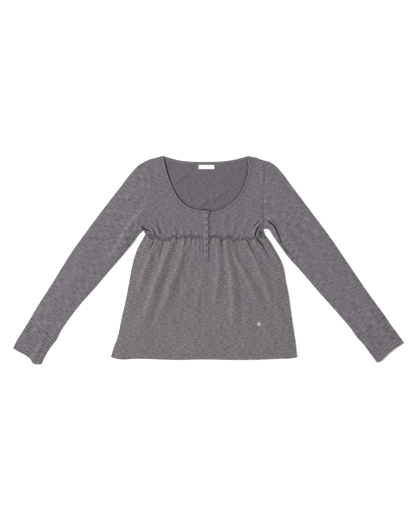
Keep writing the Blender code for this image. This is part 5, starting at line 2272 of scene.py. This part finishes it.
@dataclass(frozen=True)
class Stitching:
    """Rows of sewing thread laid in the cloth."""

    layers: Layers
    thread_width: float = 0.55
    thread_height: float = 0.35
    beside: float = 1.6
    proud: float = 0.1
    hem_pace: Pace = Pace(3.2, 2.4)
    hem_inset: float = 6.0
    hem_samples: int = 400
    neck_pace: Pace = Pace(2.8, 2.0)
    neck_ends: tuple[float, float] = (0.003, 0.997)
    neck_samples: int = 300
    band_pace: Pace = Pace(2.6, 1.9)
    band_inset: float = 2.0
    band_samples: int = 200
    ring_pace: Pace = Pace(1.7, 1.5)
    ring_y: float = -67.6
    ring_radius: float = 3.7
    ring_samples: int = 60
    label_pace: Pace = Pace(1.9, 1.4)
    label_rise: float = 0.45
    label_ends: tuple[float, float] = (-0.47, 0.47)
    label_up: tuple[float, float] = (-0.42, 0.42)
    label_samples: int = 20

    def row(self, points: Array, heights: Array, pace: Pace) -> list[Stitch]:
        """Lay stitches at even steps along a line.

        Args:
            points: close places on the line in plan.
            heights: height of the cloth's face at each of them.
            pace: how the row is sewn.

        Returns:
            The stitches.
        """
        runs = np.diff(points, axis=0)
        walked = np.concatenate([[0.0], np.cumsum(np.linalg.norm(runs, axis=1))])
        count = int(walked[-1] / pace.spacing)
        middle = (np.arange(count) + 0.5) * walked[-1] / count
        x, y, z = (np.interp(middle, walked, v) for v in (points[:, 0], points[:, 1], heights))
        nth = np.clip(np.searchsorted(walked, middle) - 1, 0, len(runs) - 1)
        angle = np.arctan2(runs[nth, 1], runs[nth, 0])
        return [Stitch((a, b, c), d, pace.length) for a, b, c, d in zip(x, y, z, angle)]

    def sew(self, name: str, stitches: list[Stitch]) -> bpy.types.Object:
        """Make one piece of all the stitches of a seam.

        Args:
            name: the piece's name.
            stitches: its stitches.

        Returns:
            The piece.
        """
        shape = bmesh.new()
        size = (self.thread_width / 2 * MM, self.thread_height * MM)
        for stitch in stitches:
            placed = (
                Matrix.Translation(Vector(to_frame(*stitch.place).tolist()))
                @ Matrix.Rotation(stitch.angle, 4, "Z")
                @ Matrix.Diagonal((stitch.length / 2 * MM, size[0], size[1], 1.0))
            )
            bmesh.ops.create_uvsphere(shape, u_segments=6, v_segments=4, radius=1.0, matrix=placed)
        return add_piece(name, shape, self.layers.finishes.thread, sharp=180.0)

    def over(self, points: Array, wall: float = WALL) -> Array:
        """Height of the front layer's face along a line."""
        return self.layers.relief.front(points[:, 0], points[:, 1]) + wall

    def build(
        self, skirt: Skirt, placket: Placket, binding: NeckBinding, label: NeckLabel
    ) -> dict[str, bpy.types.Object]:
        """Sew the garment's visible stitches.

        Args:
            skirt: the skirt, for its hem.
            placket: the placket, for its edges and the ring at its foot.
            binding: the neck binding, for its inner edge.
            label: the label, for its ends.

        Returns:
            The pieces by what they sew.
        """
        cut, hem, neck, bands, ends = self.layers.cut, [], [], [], []
        left, right = cut.hem.knots[0][0] + self.hem_inset, cut.hem.knots[-1][0] - self.hem_inset
        x = np.linspace(left, right, self.hem_samples)
        for above in (skirt.hem_depth - self.beside, skirt.hem_depth + self.beside):
            points = np.stack([x, skirt.hem_y(x) + above], axis=-1)
            hem += self.row(points, self.over(points, WALL + self.proud), self.hem_pace)
        share = np.linspace(*self.neck_ends, self.neck_samples)
        for side in Side:
            points = cut.beside_neck(side, share, binding.width + self.beside)
            neck += self.row(points, self.over(points), self.neck_pace)
        down = np.linspace(placket.top - self.band_inset, placket.bottom + self.band_inset, self.band_samples)
        for x_at in (placket.left + placket.stitch_insets[0], placket.right - placket.stitch_insets[1]):
            points = np.stack([down * 0 + x_at, down], axis=-1)
            heights = placket.height(down) + placket_rise(points[:, 0]) + WALL - self.proud
            bands += self.row(points, heights, self.band_pace)
        turn = np.linspace(0, 2 * math.pi, self.ring_samples)
        circle = np.stack([np.sin(turn), np.cos(turn)], axis=-1)
        ring = np.array([BUTTON_X, self.ring_y]) + self.ring_radius * circle
        heights = placket.height(ring[:, 1]) + placket_rise(ring[:, 0]) + WALL + self.proud
        bands += self.row(ring, heights, self.ring_pace)
        up = np.linspace(*self.label_up, self.label_samples) * label.size[1] + label.centre[1]
        for end in self.label_ends:
            points = np.stack([up * 0 + label.centre[0] + end * label.size[0], up], axis=-1)
            seat = self.layers.relief.back(points[:, 0], points[:, 1]) + BACK_TOP
            ends += self.row(points, seat + label.wall + self.label_rise, self.label_pace)
        return {
            "hem": self.sew("hem_stitches", hem),
            "neck": self.sew("neck_stitches", neck),
            "placket": self.sew("placket_stitches", bands),
            "label": self.sew("label_stitches", ends),
        }


@dataclass(frozen=True)
class Buttonholes:
    """The stitched slits that the buttons go through, whose ends show above and below them."""

    layers: Layers
    length: float = 14.5
    width: float = 2.2
    thread_width: float = 0.8
    bar_step: float = 0.7
    under_button: float = 4.6
    tack_at: float = 7.0
    tack_step: float = 0.75
    tack_width: float = 3.4
    tack_rise: float = 0.15

    def build(self, placket: Placket) -> bpy.types.Object:
        """Sew short cross stitches round each slit and three across each of its ends.

        Args:
            placket: the placket whose top band they are in.

        Returns:
            The piece.
        """
        stitches: list[Stitch] = []
        for number in range(len(BUTTON_TILTS)):
            middle = BUTTON_TOP_Y - number * BUTTON_SPACING
            for up in np.arange(-self.length / 2, self.length / 2, self.bar_step):
                if abs(up) < self.under_button:
                    continue
                for side in (-1, 1):
                    x = BUTTON_X + side * self.width / 4
                    place = (x, middle + up, placket.face(middle + up))
                    stitches.append(Stitch(place, 0.0, self.width / 2))
            for end in (-1, 1):
                for strand in (-1, 0, 1):
                    y = middle + end * self.tack_at + strand * self.tack_step
                    place = (BUTTON_X, y, placket.face(y) + self.tack_rise)
                    stitches.append(Stitch(place, 0.0, self.tack_width))
        sewing = Stitching(self.layers, thread_width=self.thread_width)
        piece = sewing.sew("buttonhole_stitches", stitches)
        piece.data.materials[0] = self.layers.finishes.dark_thread_and_painted_shade
        return piece


@dataclass(frozen=True)
class Daisy:
    """A small embroidered flower near the hem: five petals round a yellow middle."""

    layers: Layers
    centre: tuple[float, float] = (156.6, -252.3)
    petals: int = 5
    petal_size: tuple[float, float, float] = (2.6, 1.5, 0.5)
    petal_out: float = 3.9
    middle_size: tuple[float, float, float] = (1.9, 1.9, 0.9)
    start_angle: float = 100.0

    def build(self) -> list[bpy.types.Object]:
        """Build the petals and the middle on the skirt's face.

        Returns:
            The petals and the middle.
        """
        x, y = self.centre
        height = float(self.layers.relief.front(np.array([x]), np.array([y]))[0]) + WALL
        place = Matrix.Translation(Vector(to_frame(x, y, height).tolist())) @ Matrix.Scale(MM, 4)
        petals = bmesh.new()
        for number in range(self.petals):
            turn = math.radians(self.start_angle + 360 * number / self.petals)
            petal = (
                place
                @ Matrix.Rotation(turn, 4, "Z")
                @ Matrix.Translation((self.petal_out, 0, 0))
                @ Matrix.Diagonal((*self.petal_size, 1.0))
            )
            bmesh.ops.create_uvsphere(petals, u_segments=20, v_segments=12, radius=1.0, matrix=petal)
        middle = bmesh.new()
        bmesh.ops.create_uvsphere(
            middle, u_segments=20, v_segments=12, radius=1.0,
            matrix=place @ Matrix.Diagonal((*self.middle_size, 1.0)),
        )
        finishes = self.layers.finishes
        return [
            add_piece("daisy_petals", petals, finishes.petal),
            add_piece("daisy_middle", middle, finishes.pollen),
        ]


@dataclass(frozen=True)
class Studio:
    """A pale floor, soft light mostly from the left, and a camera straight above."""

    photo_width: int = 416
    photo_height: int = 520
    photo_scale: float = 2.9
    photo_zero: tuple[float, float] = (205.0, 237.0)
    lens: float = 85.0
    sensor: float = 36.0
    floor_size: float = 30.0
    floor_z: float = -0.0002
    sky: float = 0.61
    key_power: float = 940.0
    key_place: tuple[float, float, float] = (-6.9, 1.3, 5.5)
    key_size: float = 3.4

    def build(self) -> None:
        """Put the studio round the garment."""
        scene = bpy.context.scene
        scene.view_settings.view_transform = "Standard"
        world = bpy.data.worlds.new("studio_sky")
        world.use_nodes = True
        world.node_tree.nodes["Background"].inputs["Color"].default_value = (1, 1, 1, 1)
        world.node_tree.nodes["Background"].inputs["Strength"].default_value = self.sky
        scene.world = world
        self.floor()
        self.key_light()
        self.camera()

    def floor(self) -> None:
        """Lay the floor just under the garment."""
        shape = bmesh.new()
        flat = Matrix.Translation((0, 0, self.floor_z))
        bmesh.ops.create_grid(shape, x_segments=1, y_segments=1, size=self.floor_size / 2, matrix=flat)
        mesh = bpy.data.meshes.new("floor")
        shape.to_mesh(mesh)
        shape.free()
        material = bpy.data.materials.new("studio_floor")
        material.use_nodes = True
        shader = material.node_tree.nodes["Principled BSDF"]
        shader.inputs["Base Color"].default_value = (0.97, 0.97, 0.97, 1)
        shader.inputs["Roughness"].default_value = 1.0
        shader.inputs["Specular IOR Level"].default_value = 0.0
        mesh.materials.append(material)
        floor = bpy.data.objects.new("floor", mesh)
        bpy.context.scene.collection.objects.link(floor)

    def key_light(self) -> None:
        """Hang the large soft lamp to the left of the garment."""
        data = bpy.data.lights.new("key", "AREA")
        data.energy = self.key_power
        data.size = self.key_size
        lamp = bpy.data.objects.new("key", data)
        lamp.location = self.key_place
        lamp.rotation_euler = (-Vector(self.key_place)).to_track_quat("-Z", "Y").to_euler()
        bpy.context.scene.collection.objects.link(lamp)

    def camera(self) -> None:
        """Hang the camera over the middle of the photograph's frame."""
        data = bpy.data.cameras.new("camera")
        data.lens = self.lens
        data.sensor_width = self.sensor
        camera = bpy.data.objects.new("camera", data)
        x = (self.photo_width / 2 - self.photo_zero[0]) * self.photo_scale
        y = (self.photo_zero[1] - self.photo_height / 2) * self.photo_scale
        height = self.photo_height * self.photo_scale * self.lens / self.sensor
        camera.location = to_frame(np.array(x), np.array(y), np.array(height)).tolist()
        bpy.context.scene.collection.objects.link(camera)
        bpy.context.scene.camera = camera


def main() -> None:
    """Build the garment piece by piece, dress it and light it."""
    logging.basicConfig(level=logging.INFO, format="%(name)s: %(message)s")
    cut = Cut()
    layers = Layers(cut, Relief(cut), make_finishes())
    Studio().build()
    skirt, placket = Skirt(layers), Placket(layers)
    binding, label = NeckBinding(layers), NeckLabel(layers)
    skirt_pieces = skirt.build()
    log.info("skirt: front with its placket notch, and back")
    front_left, front_right, back = Bodice(layers).build()
    log.info("bodice: two fronts and a back")
    for side in Side:
        Sleeve(layers, side).build()
        log.info("%s sleeve with its cuff", side.value)
    bindings = binding.build()
    bands = placket.build()
    log.info("neck binding and placket bands")
    ruffles = [SeamRuffle(layers, side).build() for side in Side]
    log.info("ruffle over the seam")
    for number in range(len(BUTTON_TILTS)):
        Button(layers, number).build(placket)
    log.info("%d buttons", len(BUTTON_TILTS))
    label.build()
    stitches = Stitching(layers).build(skirt, placket, binding, label)
    holes = Buttonholes(layers).build(placket)
    daisy = Daisy(layers).build()
    log.info("label, stitches, buttonholes and embroidery")


if __name__ == "__main__":
    main()
